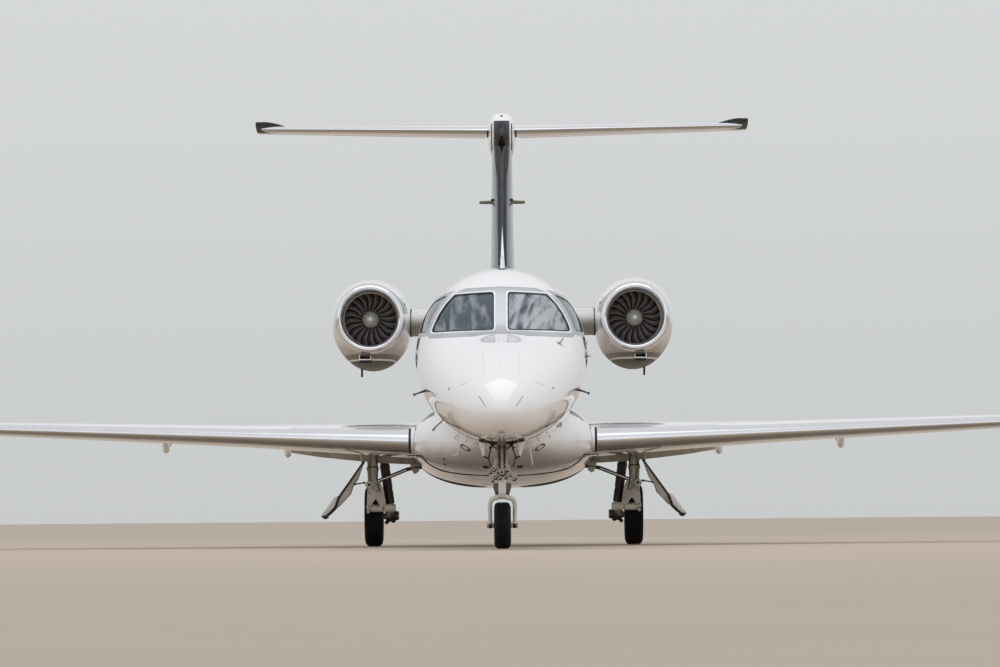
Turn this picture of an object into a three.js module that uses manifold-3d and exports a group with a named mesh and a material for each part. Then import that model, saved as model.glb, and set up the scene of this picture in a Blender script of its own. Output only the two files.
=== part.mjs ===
// A twin-engine business jet with a T-tail, parked on its gear.
// Millimetres, +Z up, +X to port and +Y aft. Stations are distances aft of the nose tip.
import * as THREE from "three";
import { mergeVertices } from "three/addons/utils/BufferGeometryUtils.js";
import Module from "manifold-3d";

const wasm = await Module();
wasm.setup();

// Driving dimensions
const LENGTH = 15640;
const WALL = 70; // cabin wall, skin to trim
const SEAM = 0.3; // clearance between fixed neighbours
const SLOT = 6; // clearance around moving pieces
const PIN_RADIUS = 9; // hinge pins of the control surfaces and flaps
const PIN_HOLE = 9.95;
const FUSELAGE_SIDES = 28;
const AIRFOIL_POINTS = 16;

// Fuselage sections: station, top, widest, bottom, half width, squareness of the upper half
const FUSELAGE = [
  [0, 1322, 1300, 1278, 24, 2],
  [40, 1408, 1302, 1216, 105, 2],
  [140, 1502, 1308, 1158, 200, 2],
  [350, 1622, 1325, 1098, 325, 2],
  [750, 1792, 1390, 1052, 480, 2.05],
  [1250, 1945, 1480, 1028, 610, 2.15],
  [1750, 2068, 1580, 1020, 700, 2.3],
  [2000, 2150, 1630, 1020, 735, 2.4],
  [2300, 2355, 1690, 1020, 772, 2.4],
  [2600, 2540, 1745, 1020, 802, 2.35],
  [3000, 2692, 1810, 1020, 832, 2.2],
  [3400, 2770, 1860, 1020, 852, 2.1],
  [3800, 2800, 1880, 1018, 862, 2],
  [9600, 2800, 1880, 1018, 862, 2],
  [10300, 2796, 1905, 1060, 835, 2],
  [11000, 2784, 1960, 1180, 765, 2],
  [11800, 2752, 2040, 1385, 640, 2],
  [12600, 2700, 2130, 1625, 480, 2],
  [13400, 2625, 2220, 1870, 310, 2],
  [14000, 2540, 2290, 2070, 175, 2],
  [14250, 2440, 2320, 2200, 90, 2],
];
const RADOME_AFT = 750;
const COCKPIT_AFT = 3800;
const CABIN_AFT = 9600;
const FLOOR_UNDER = 1300;
const FLOOR_TOP = 1340;

// Belly fairing sections: station, half width, bottom, height of the widest line, top
const BELLY = [
  [5200, 300, 1000, 1080, 1400],
  [5600, 560, 905, 1090, 1500],
  [6050, 800, 830, 1095, 1560],
  [6450, 940, 785, 1100, 1600],
  [7000, 980, 740, 1100, 1620],
  [7700, 988, 685, 1100, 1620],
  [8400, 985, 640, 1095, 1620],
  [9000, 965, 625, 1090, 1620],
  [9600, 900, 660, 1100, 1600],
  [10200, 740, 770, 1130, 1560],
  [10800, 480, 960, 1200, 1500],
  [11200, 260, 1150, 1260, 1450],
];

// Wing sections: out from centre, leading edge station, height, chord, thickness ratio, cant in degrees
const WING = [
  [420, 6264, 1084, 3330, 0.125, 0],
  [1000, 6560, 1110, 2960, 0.125, 0],
  [2750, 7453, 1187, 2000, 0.12, 0],
  [7450, 9850, 1394, 900, 0.105, 0],
  [7680, 9985, 1425, 840, 0.1, 22],
  [7830, 10135, 1530, 760, 0.09, 55],
  [7895, 10390, 1760, 600, 0.08, 72],
  [7945, 10790, 2130, 330, 0.08, 80],
];
const WING_INCIDENCE = 1.2;
const WING_CAMBER = 0.016;
const FLAP = {
  from: 1075, to: 4900, front: 0.735, gap: 38, axisDrop: 160, axisAhead: 215, arms: [2350, 3700],
};
const AILERON = { from: 4990, to: 7280, hinge: 0.74 };
const EDGE_DEPTH = [190, 95]; // polished leading edge, root and tip

// Tailplane sections: out from centre, leading edge station, height, chord, thickness ratio
const TAILPLANE = [
  [0, 13500, 4860, 1450, 0.098],
  [2960, 14786.5, 4988, 860, 0.09],
];
const TAIL_TRIM = -2; // degrees, leading edge down
const ELEVATOR = { from: 205, to: 2520, hinge: 0.68, horn: [2947, 14700], hornGap: 18, droop: 7 };
// Bullet fairing sections: station, half width, bottom, top
const BULLET = [
  [13160, 18, 4775, 4810],
  [13300, 94, 4685, 4935],
  [13600, 155, 4590, 5060],
  [14050, 166, 4550, 5100],
  [14600, 155, 4575, 5075],
  [15050, 106, 4670, 5005],
  [15350, 26, 4790, 4880],
];

// Fin sections: height, leading edge station, chord, thickness
const FIN = [
  [2560, 11610, 2860, 300],
  [3600, 12440, 2240, 262],
  [4760, 13370, 1560, 235],
];
const DORSAL = { front: 10150, peakStation: 12560, peak: 3600, halfWidth: 42 };
const RUDDER = { from: 2900, to: 4480, hinge: 0.7, gap: 23 };
const VENTRAL = { front: 12350, back: 13950, bottom: 1480, halfWidth: 26 };

// Nacelle sections: station, half width, rise above the axis, drop below it
const ENGINE = { x: 1468, z: 2518 };
const NACELLE = [
  [9620, 390, 390, 390],
  [9900, 415, 430, 478],
  [10400, 432, 464, 548],
  [11000, 432, 467, 557],
  [11600, 402, 420, 490],
  [12100, 340, 342, 362],
  [12450, 282, 282, 282],
];
// Duct through the nacelle: station, radius
const DUCT = [
  [9620, 297],
  [9950, 309],
  [10250, 309],
  [10800, 330],
  [11900, 292],
  [12450, 256],
];
const FAN = { blades: 20, front: 9985, back: 10105, hub: 88, tip: 298 };
const PYLON = { front: 10120, chord: 1900, thickness: 300, inner: 450, outer: 1110, drop: 18 };

// Windows: corners of the windscreen from the front, of the side window from the side
const WINDSCREEN = [
  [72, 2126],
  [674, 2112],
  [600, 2300],
  [452, 2492],
  [72, 2510],
];
const SIDE_WINDOW = [
  [2520, 2125],
  [3400, 2140],
  [3500, 2265],
  [3290, 2440],
  [2870, 2492],
];
const CABIN_WINDOW = { first: 4640, pitch: 800, count: 6, z: 2110, width: 300, height: 410, corner: 90 };
const ENTRY_DOOR = { front: 3960, back: 4700, bottom: 1240, top: 2640, corner: 110, low: 55, sill: 462 };
const ENTRY_HINGE = { x: 590, z: 1228, reach: 1409, stations: [4090, 4570], foot: [545, 600] };
const BAGGAGE_HINGE = { x: 715, z: 1394, reach: 660, stations: [9990, 10190], foot: [655, 708] };
const BAGGAGE_DOOR = { front: 9900, back: 10620, bottom: 1400, top: 2060, corner: 70, low: 40 };

// Landing gear
const MAIN_WHEEL = { x: 1413, station: 8720, radius: 330, width: 200, rim: 178, bore: 35.1 };
const NOSE_WHEEL = { x: 0, station: 2200, radius: 228.6, width: 146, rim: 102, bore: 24.1 };
const TYRE_FACETS = 32;
const LEG = { station: 8290, knee: 640, pivot: 430 };
const LEG_BAY = { inner: 700, outer: 1530, halfLength: 125, top: 1065 };
const BRACE_END = [840, 852];
const SHOCK = { x: 1262, station: 8700, pocket: 62, top: 1045, eye: 452 };
const JACK_PAD = { x: 2050, share: 0.36, radius: 34, drop: 14 };
const NOSE_LEG = { station: 2150, top: 1225, collar: 700 };
const NOSE_BAY = { halfWidth: 185, front: 1150, back: 2480, top: 1240 };

const MATERIALS = {
  white: { color: 0xf2f1ee, roughness: 0.18, metalness: 0 },
  polished: { color: 0xd4d7da, roughness: 0.12, metalness: 1 },
  frame: { color: 0xb9bec6, roughness: 0.3, metalness: 0.9 },
  glass: { color: 0x8fa3ad, roughness: 0.04, metalness: 0 },
  black: { color: 0x17181a, roughness: 0.5, metalness: 0 },
  fan: { color: 0x4a4643, roughness: 0.35, metalness: 0.8 },
  gear: { color: 0xa8a49c, roughness: 0.45, metalness: 0.3 },
  rubber: { color: 0x141414, roughness: 0.85, metalness: 0 },
  seat: { color: 0xb8aa94, roughness: 0.6, metalness: 0 },
  carpet: { color: 0x77706a, roughness: 0.95, metalness: 0 },
};

// A closed triangle mesh as a solid, facing out, its shared vertices merged.
function solidOf(geometry) {
  const bare = new THREE.BufferGeometry();
  bare.setAttribute("position", geometry.getAttribute("position"));
  if (geometry.index) bare.setIndex(geometry.index);
  const merged = mergeVertices(bare, 1e-3);
  const triVerts = new Uint32Array(merged.index.array);
  const build = () =>
    new wasm.Manifold(
      new wasm.Mesh({ numProp: 3, vertProperties: merged.attributes.position.array, triVerts }),
    );
  const made = build();
  if (made.volume() > 0) return made;
  for (let i = 0; i < triVerts.length; i += 3)
    [triVerts[i + 1], triVerts[i + 2]] = [triVerts[i + 2], triVerts[i + 1]];
  return build();
}

// A solid as a drawable geometry with flat shading.
function geometryOf(solid) {
  const { numProp, vertProperties, triVerts } = solid.getMesh();
  const position = new Float32Array(triVerts.length * 3);
  triVerts.forEach((v, i) => {
    for (let k = 0; k < 3; k++) position[3 * i + k] = vertProperties[v * numProp + k];
  });
  const geometry = new THREE.BufferGeometry();
  geometry.setAttribute("position", new THREE.BufferAttribute(position, 3));
  geometry.computeVertexNormals();
  return geometry;
}

const join = (...solids) => solids.reduce((a, b) => a.add(b));

// Turns a solid by degrees about a line through two points.
function turned(solid, from, to, degrees) {
  const a = new THREE.Vector3(...from);
  const axis = new THREE.Vector3(...to).sub(a).normalize();
  const m = new THREE.Matrix4()
    .makeTranslation(a.x, a.y, a.z)
    .multiply(new THREE.Matrix4().makeRotationAxis(axis, THREE.MathUtils.degToRad(degrees)))
    .multiply(new THREE.Matrix4().makeTranslation(-a.x, -a.y, -a.z));
  return solidOf(geometryOf(solid).applyMatrix4(m));
}

// A solid through rings of points. Point 0 and the middle point of each ring are its two ends.
function loft(rings) {
  const n = rings[0].length;
  const index = [];
  for (let i = 0; i + 1 < rings.length; i++)
    for (let j = 0; j < n; j++) {
      const [a, b] = [i * n + j, i * n + ((j + 1) % n)];
      // Diagonals mirror each other across the line through the two end points.
      if (j < n / 2) index.push(a, b, b + n, a, b + n, a + n);
      else index.push(a, b, a + n, b, b + n, a + n);
    }
  for (const [start, flip] of [[0, 1], [(rings.length - 1) * n, 0]])
    for (let j = 0; j < n / 2; j++) {
      const quad = [j, j + 1, n - j - 1, (n - j) % n].map((k) => start + k);
      const corners = flip ? [quad[0], quad[3], quad[2], quad[1]] : quad;
      if (quad[0] !== quad[3]) index.push(corners[0], corners[1], corners[3]);
      if (quad[1] !== quad[2]) {
        if (quad[0] === quad[3]) index.push(quad[0], ...(flip ? [quad[2], quad[1]] : [quad[1], quad[2]]));
        else index.push(corners[1], corners[2], corners[3]);
      }
    }
  const geometry = new THREE.BufferGeometry();
  geometry.setAttribute("position", new THREE.Float32BufferAttribute(rings.flat(2), 3));
  geometry.setIndex(index);
  return solidOf(geometry);
}

// A prism on an outline drawn from above (xy), from the front (xz) or from the side (yz).
function prism(outline, plane, from, to) {
  const shape = new THREE.Shape(outline.map(([u, v]) => new THREE.Vector2(u, v)));
  const geometry = new THREE.ExtrudeGeometry(shape, { depth: to - from, bevelEnabled: false });
  geometry.translate(0, 0, from);
  const basis = { xy: [0, 1, 2], xz: [0, 2, 1], yz: [1, 2, 0] }[plane];
  const p = geometry.getAttribute("position");
  for (let i = 0; i < p.count; i++) {
    const [u, v, w] = [p.getX(i), p.getY(i), p.getZ(i)];
    const out = [0, 0, 0];
    [u, v, w].forEach((value, k) => (out[basis[k]] = value));
    p.setXYZ(i, ...out);
  }
  return solidOf(geometry);
}

function box([x0, x1], [y0, y1], [z0, z1]) {
  return prism([[x0, y0], [x1, y0], [x1, y1], [x0, y1]], "xy", z0, z1);
}

// A straight round bar from a to b, with its radius at each end.
function bar(a, b, radius, endRadius = radius, sides = 9) {
  const [from, to] = [new THREE.Vector3(...a), new THREE.Vector3(...b)];
  const along = to.clone().sub(from);
  const geometry = new THREE.CylinderGeometry(endRadius, radius, along.length(), sides);
  geometry.applyQuaternion(
    new THREE.Quaternion().setFromUnitVectors(new THREE.Vector3(0, 1, 0), along.clone().normalize()),
  );
  const middle = from.add(to).multiplyScalar(0.5);
  geometry.translate(middle.x, middle.y, middle.z);
  return solidOf(geometry);
}

// A bar bent through several points, as one swept tube.
function pipe(points, radius, sides = 10) {
  const at = points.map((p) => new THREE.Vector3(...p));
  const ways = at.map((p, i) => {
    const before = i > 0 ? p.clone().sub(at[i - 1]).normalize() : new THREE.Vector3();
    const after = i + 1 < at.length ? at[i + 1].clone().sub(p).normalize() : new THREE.Vector3();
    return before.add(after).normalize();
  });
  let side = new THREE.Vector3().crossVectors(ways[0], Math.abs(ways[0].y) < 0.8
    ? new THREE.Vector3(0, 1, 0) : new THREE.Vector3(0, 0, 1)).normalize();
  return loft(at.map((p, i) => {
    side = side.clone().addScaledVector(ways[i], -side.dot(ways[i])).normalize();
    const up = new THREE.Vector3().crossVectors(ways[i], side);
    return Array.from({ length: sides }, (_, j) => {
      const a = (2 * Math.PI * j) / sides;
      const q = p.clone().addScaledVector(side, radius * Math.cos(a)).addScaledVector(up, radius * Math.sin(a));
      return q.toArray();
    });
  }));
}

// A turned piece about an axis along X or Y through a centre: profile of [radius, place along the axis].
function turnedPiece(profile, axis, centre, sides, offset = 0) {
  const geometry = new THREE.LatheGeometry(
    profile.map(([r, along]) => new THREE.Vector2(r, along)),
    sides,
    offset,
  );
  if (axis === "x") geometry.rotateZ(-Math.PI / 2);
  return solidOf(geometry.translate(...centre));
}

// A rectangle with clipped corners, c at the top and low at the bottom, as a list of points.
function clippedRectangle(u0, u1, v0, v1, c, low = c) {
  return [
    [u0 + low, v0], [u1 - low, v0], [u1, v0 + low], [u1, v1 - c],
    [u1 - c, v1], [u0 + c, v1], [u0, v1 - c], [u0, v0 + low],
  ];
}

// An outline drawn in towards its middle by a distance.
function drawnIn(outline, by) {
  const cu = outline.reduce((s, p) => s + p[0], 0) / outline.length;
  const cv = outline.reduce((s, p) => s + p[1], 0) / outline.length;
  return outline.map(([u, v]) => {
    const r = Math.hypot(u - cu, v - cv);
    return [cu + ((u - cu) * (r - 1.4 * by)) / r, cv + ((v - cv) * (r - 1.4 * by)) / r];
  });
}

// The row of a table at a value of its first column, by straight lines between rows.
function rowAt(table, at) {
  const i = Math.max(1, Math.min(table.length - 1, table.findIndex((row) => row[0] >= at)));
  const [a, b] = [table[i - 1], table[i]];
  const t = (at - a[0]) / (b[0] - a[0]);
  return a.map((v, k) => v + (b[k] - v) * t);
}

// A fuselage section, drawn in from the skin by inset.
function fuselageRing(station, inset) {
  const [, top, widest, bottom, half, square] = rowAt(FUSELAGE, station);
  return Array.from({ length: FUSELAGE_SIDES }, (_, j) => {
    const angle = (2 * Math.PI * j) / FUSELAGE_SIDES;
    const [s, c] = [Math.sin(angle), Math.cos(angle)];
    const power = c > 0 ? 2 / square : 1;
    const height = (c > 0 ? top - widest : widest - bottom) - inset;
    return [
      (half - inset) * Math.sign(s) * Math.abs(s) ** power,
      station,
      widest + height * Math.sign(c) * Math.abs(c) ** power,
    ];
  });
}

// The fuselage between two stations, drawn in from the skin by inset.
function fuselage(from, to, inset = 0) {
  const inside = FUSELAGE.map((row) => row[0]).filter((s) => s > from + 1 && s < to - 1);
  return loft([from, ...inside, to].map((s) => fuselageRing(s, inset)));
}

function ellipseRing(x, y, half, bottom, widest, top, sides, lowerSquare = 2) {
  return Array.from({ length: sides }, (_, j) => {
    const angle = (2 * Math.PI * j) / sides;
    const [s, c] = [Math.sin(angle), Math.cos(angle)];
    const power = c < 0 ? 2 / lowerSquare : 1;
    const height = c > 0 ? top - widest : widest - bottom;
    return [
      x + half * Math.sign(s) * Math.abs(s) ** power,
      y,
      widest + height * Math.sign(c) * Math.abs(c) ** power,
    ];
  });
}

function bellyFairing(grow = 0) {
  return loft(
    BELLY.map(([s, half, bottom, widest, top]) =>
      ellipseRing(0, s, half + grow, bottom - grow, widest, top + grow, 20, 2.5),
    ),
  );
}

const thicknessAt = (c) =>
  5 * (0.2969 * Math.sqrt(c) - 0.126 * c - 0.3516 * c * c + 0.2843 * c ** 3 - 0.1036 * c ** 4);

// An airfoil section from its leading edge, aft along +Y, thick along the up direction.
function airfoil(leading, chord, ratio, up, camber = 0, incidence = 0, grow = 0) {
  const half = AIRFOIL_POINTS / 2;
  const fall = Math.tan(THREE.MathUtils.degToRad(incidence));
  return Array.from({ length: AIRFOIL_POINTS }, (_, j) => {
    const side = j < half ? 1 : -1;
    const c = (1 - Math.cos((Math.PI * (j <= half ? j : AIRFOIL_POINTS - j)) / half)) / 2;
    const edge = c === 0 || c === 1 ? 0 : side * (chord * ratio * thicknessAt(c) + grow);
    const lift = edge + chord * (4 * camber * c * (1 - c) - c * fall);
    const y = leading[1] + c * (chord + 2 * grow) - grow;
    return [leading[0] + up[0] * lift, y, leading[2] + up[2] * lift];
  });
}

function wingSection([x, station, z, chord, ratio, cant], grow) {
  const a = THREE.MathUtils.degToRad(cant);
  const camber = cant ? 0 : WING_CAMBER;
  return airfoil([x, station, z], chord, ratio, [-Math.sin(a), 0, Math.cos(a)], camber,
    cant ? 0 : WING_INCIDENCE, grow);
}

const wingSolid = (grow = 0) => loft(WING.map((row) => wingSection(row, grow)));

// The middle and half thickness of a wing-like table at a place along it and a share of its chord.
function wingPoint(x, share) {
  const [, station, z, chord, ratio] = rowAt(WING, x);
  const fall = Math.tan(THREE.MathUtils.degToRad(WING_INCIDENCE));
  const lift = chord * (4 * WING_CAMBER * share * (1 - share) - share * fall);
  return { point: [x, station + share * chord, z + lift], half: chord * ratio * thicknessAt(share) };
}

function tailPoint(x, share) {
  const [, station, z, chord, ratio] = rowAt(TAILPLANE, x);
  const rise = share * chord * Math.tan(THREE.MathUtils.degToRad(-TAIL_TRIM));
  return { point: [x, station + share * chord, z + rise], half: chord * ratio * thicknessAt(share) };
}

function finPoint(z, share) {
  const [, station, chord, thickness] = rowAt(FIN, z);
  return { point: [0, station + share * chord, z], half: thickness * thicknessAt(share) };
}

// Splits a surface at a hinge line: a rounded nose on the moving piece, a hollow in the fixed one.
// Each end has a point and a half thickness. The moving piece lies inside region, which starts at
// the hinge, and the fixed piece is cut back by cutout. The hollow runs past both ends. Pins on
// the hinge line carry the moving piece at the ends that are asked for.
function splitAtHinge(surface, a, b, region, cutout, past, pinnedEnds) {
  const nose = bar(a.point, b.point, a.half * 0.97, b.half * 0.97, 10);
  const [from, to] = [new THREE.Vector3(...a.point), new THREE.Vector3(...b.point)];
  const out = to.clone().sub(from).normalize();
  const before = from.clone().addScaledVector(out, -past).toArray();
  const after = to.clone().addScaledVector(out, past).toArray();
  const hollow = bar(before, after, a.half + SLOT, b.half + SLOT + 1, 10);
  const pin = (end, way, radius, depth) => bar(
    end.clone().addScaledVector(out, 78 * way).toArray(),
    end.clone().addScaledVector(out, -depth * way).toArray(), radius, radius, 8);
  const ends = [[from, -1], [to, 1]].slice(...pinnedEnds);
  const pins = ends.map(([end, way]) => pin(end, way, PIN_RADIUS, 45));
  const holes = ends.map(([end, way]) => pin(end, way, PIN_HOLE, 50));
  return {
    moving: surface.intersect(region).add(nose).subtract(join(...holes)),
    fixed: join(surface.subtract(join(cutout, hollow)), ...pins),
  };
}

const jet = new THREE.Group();
jet.name = "business_jet";
const airframe = new THREE.Group();
airframe.position.y = -LENGTH / 2;
jet.add(airframe);

function add(name, solid, material) {
  const mesh = new THREE.Mesh(geometryOf(solid), new THREE.MeshStandardMaterial(MATERIALS[material]));
  mesh.name = name;
  airframe.add(mesh);
  return mesh;
}

// A piece on the port side and its mirror image on the starboard side.
function addPair(name, solid, material) {
  add(`${name}_port`, solid, material);
  add(`${name}_starboard`, solid, material).scale.x = -1;
}

// Window and door openings
const PAST = 1000;
const mirrored = (outline) => outline.map(([u, v]) => [-u, v]);
const windscreenHoles = [WINDSCREEN, mirrored(WINDSCREEN)].map((o) => prism(o, "xz", 1500, 3100));
const sideWindowHole = (outline, side) =>
  side > 0 ? prism(outline, "yz", 300, PAST) : prism(outline, "yz", -PAST, -300);
const cabinWindowOutline = (i, by) => {
  const { first, pitch, z, width, height, corner } = CABIN_WINDOW;
  const y = first + i * pitch;
  return clippedRectangle(
    y - width / 2 + by, y + width / 2 - by, z - height / 2 + by, z + height / 2 - by, corner,
  );
};
const doorOutline = ({ front, back, bottom, top, corner, low }, by) =>
  clippedRectangle(front + by, back - by, bottom + by, top - by, corner, low);
const wholeBody = (inset) => fuselage(0, 14250, inset);

// The hinges below a door: lugs and pins on the fuselage, and arms on the door.
function doorHinges({ x, z, stations, foot: [lugX, armX] }) {
  const fixed = stations.flatMap((y) => [
    prism([[x + 7, z + 7], [x + 7, z - 7], [lugX, z - 18], [lugX, z + 4]], "xz", y - 24, y - 10),
    bar([x, y - 24, z], [x, y + 12, z], 5, 5, 8),
  ]);
  const arms = stations.map((y) => join(
    bar([x, y - 9, z], [x, y + 12, z], 10, 10, 8),
    prism([[x - 6, z], [x + 9, z], [armX, z + 58], [armX - 18, z + 58]], "xz", y - 9, y + 12),
  ).subtract(bar([x, y - 30, z], [x, y + 30, z], 5.7, 5.7, 8)));
  return { fixed: join(...fixed), arms: join(...arms) };
}

function addFuselage() {
  const [entryHinges, baggageHinges] = [ENTRY_HINGE, BAGGAGE_HINGE].map(doorHinges);
  add("nose_cone", fuselage(0, RADOME_AFT), "white");

  const cockpitRoom = fuselage(1990, COCKPIT_AFT + 10, WALL)
    .intersect(box([-PAST, PAST], [2000, 4000], [FLOOR_UNDER, 3000]));
  const noseBay = box(
    [-NOSE_BAY.halfWidth, NOSE_BAY.halfWidth], [NOSE_BAY.front, NOSE_BAY.back], [900, NOSE_BAY.top],
  );
  const forward = fuselage(RADOME_AFT + SEAM, COCKPIT_AFT)
    .subtract(cockpitRoom)
    .subtract(noseBay)
    .subtract(join(...windscreenHoles))
    .subtract(join(sideWindowHole(SIDE_WINDOW, 1), sideWindowHole(SIDE_WINDOW, -1)));
  add("forward_fuselage", forward, "white");

  const windows = [];
  for (let i = 0; i < CABIN_WINDOW.count; i++) {
    if (i > 0) windows.push(sideWindowHole(cabinWindowOutline(i, 0), 1));
    windows.push(sideWindowHole(cabinWindowOutline(i, 0), -1));
  }
  const cabinRoom = fuselage(COCKPIT_AFT - 10, CABIN_AFT + 10, WALL);
  const doorway = sideWindowHole(doorOutline(ENTRY_DOOR, 0), 1);
  const cabin = fuselage(COCKPIT_AFT + SEAM, CABIN_AFT)
    .subtract(cabinRoom)
    .subtract(join(...windows, doorway))
    .add(entryHinges.fixed);
  add("cabin_fuselage", cabin, "white");

  const hold = fuselage(9680, 12900, 60);
  const hatchway = sideWindowHole(doorOutline(BAGGAGE_DOOR, 0), 1);
  const aft = fuselage(CABIN_AFT + SEAM, 14250).subtract(hold).subtract(hatchway);
  add("aft_fuselage", aft.add(baggageHinges.fixed), "white");

  const doorWall = fuselage(3900, 4760).subtract(fuselage(3890, 4770, WALL));
  const steps = [1480, 1740, 2000].map((z) =>
    box([520, 830], [4060, 4600], [z, z + 35]).intersect(fuselage(3900, 4760, 20)));
  const swing = ({ x, z, reach }) => bar([x, 3000, z], [x, 12000, z], reach, reach, 180);
  const lowered = { ...ENTRY_DOOR, top: ENTRY_DOOR.top - 8 };
  const doorPanel = doorWall.intersect(sideWindowHole(doorOutline(lowered, SLOT), 1))
    .intersect(swing(ENTRY_HINGE));
  add("entry_door", join(doorPanel, ...steps, entryHinges.arms), "white");

  const hatchWall = fuselage(9800, 10700).subtract(fuselage(9790, 10710, 60));
  const hatch = hatchWall.intersect(sideWindowHole(doorOutline(BAGGAGE_DOOR, SLOT), 1));
  add("baggage_door", hatch.intersect(swing(BAGGAGE_HINGE)).add(baggageHinges.arms), "white");

  const wingSpace = wingSolid(SEAM);
  const belly = bellyFairing()
    .subtract(wholeBody(-SEAM))
    .subtract(wingSpace)
    .subtract(wingSpace.mirror([1, 0, 0]))
    .subtract(wheelWell(1))
    .subtract(wheelWell(-1));
  add("belly_fairing", largest(belly), "white");
}

// The biggest of a solid's separate bodies.
function largest(solid) {
  return solid.decompose().reduce((a, b) => (a.volume() > b.volume() ? a : b));
}

// The open well that takes a main wheel and its leg when they fold inboard.
function wheelWell(side) {
  const well = bar([540 * side, 8560, 400], [540 * side, 8560, 930], 365, 365, 24);
  const trough = box([Math.min(540 * side, 1010 * side), Math.max(540 * side, 1010 * side)],
    [8170, 8410], [400, LEG_BAY.top]);
  return join(well, trough);
}

function addGlass() {
  const pane = (from, to) => fuselage(from, to, 6).subtract(fuselage(from - 10, to + 10, 30));
  const front = pane(1760, 3100);
  add("windscreen_port", front.intersect(prism(drawnIn(WINDSCREEN, 0.4), "xz", 1500, 3100)), "glass");
  add("windscreen_starboard",
    front.intersect(prism(drawnIn(mirrored(WINDSCREEN), 0.4), "xz", 1500, 3100)), "glass");
  const side = pane(2400, 3700);
  addPair("cockpit_side_window", side.intersect(sideWindowHole(drawnIn(SIDE_WINDOW, 0.4), 1)), "glass");

  // Outer panes stand in the openings, on one inner pane that runs along behind the wall.
  const outer = pane(4300, 9300).add(fuselage(4300, 9300, 29).subtract(fuselage(4290, 9310, WALL + 2)));
  const liner = fuselage(4300, 9300, WALL + SEAM).subtract(fuselage(4290, 9310, WALL + 9));
  const inner = (from, side) => {
    const y = [CABIN_WINDOW.first + from * CABIN_WINDOW.pitch - 190,
      CABIN_WINDOW.first + (CABIN_WINDOW.count - 1) * CABIN_WINDOW.pitch + 190];
    return liner.intersect(box(side > 0 ? [300, PAST] : [-PAST, -300], y, [1880, 2340]));
  };
  for (const [name, side, from] of [["port", 1, 1], ["starboard", -1, 0]]) {
    const panes = [];
    for (let i = from; i < CABIN_WINDOW.count; i++)
      panes.push(outer.intersect(sideWindowHole(cabinWindowOutline(i, 1), side)));
    add(`cabin_windows_${name}`, join(inner(from, side), ...panes), "glass");
  }
}

// A plan outline that follows the wing, from share a to share b of the chord.
function planStrip(from, to, share, behind) {
  const stops = [from, ...WING.map((r) => r[0]).filter((x) => x > from && x < to), to];
  const front = stops.map((x) => {
    const { point } = wingPoint(x, share);
    return [x, point[1] + behind];
  });
  return [...front, [to, 11500], [from, 11500]];
}

function flapHinge() {
  const [a, b] = [wingPoint(FLAP.from, FLAP.front), wingPoint(FLAP.to, FLAP.front)];
  return [a, b].map(({ point }) => [point[0], point[1] - FLAP.axisAhead, point[2] - FLAP.axisDrop]);
}

// One flap hinge under the wing: the fairing on the wing, slotted for the flap's arm, and its pin.
function flapArm(x) {
  const [a, b] = flapHinge();
  const t = (x - a[0]) / (b[0] - a[0]);
  const [, y, z] = a.map((v, k) => v + (b[k] - v) * t);
  const sweep = THREE.MathUtils.radToDeg(Math.atan2(b[1] - a[1], b[0] - a[0]));
  const square = (solid) => turned(solid, [x, y, z], [x, y, z + 1], sweep);
  const start = wingPoint(x, 0.45);
  const end = wingPoint(x, FLAP.front);
  const under = end.point[2] - end.half;
  const fairing = loft([
    [start.point[1], 10, start.point[2] - start.half + 4, start.point[2]],
    [y - 170, 36, z + 15, end.point[2]],
    [y, 42, z - 32, end.point[2]],
    [end.point[1] - 12, 40, z - 22, end.point[2]],
  ].map(([at, half, bottom, top]) => ellipseRing(x, at, half, bottom, (bottom + top) / 2, top, 8)));
  const slot = square(box([x - 20, x + 20], [y - 36, y + 400], [z - 80, under + 6]));
  const along = b.map((v, k) => (v - a[k]) / (b[0] - a[0]));
  const pin = (radius, reach) => bar(
    along.map((v, k) => [x, y, z][k] - v * reach), along.map((v, k) => [x, y, z][k] + v * reach), radius, radius, 8);
  const foot = wingPoint(x, 0.83);
  const plate = square(prism([
    [y - 24, z - 6], [y - 8, z - 24], [y + 16, z - 20], [foot.point[1] + 45, foot.point[2] - 6],
    [foot.point[1] - 35, foot.point[2]], [y - 16, z + 20],
  ], "yz", x - 7, x + 7));
  return {
    fixed: fairing.subtract(slot).add(pin(PIN_RADIUS, 34)),
    arm: plate.subtract(pin(PIN_HOLE, 60)),
  };
}

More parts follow.
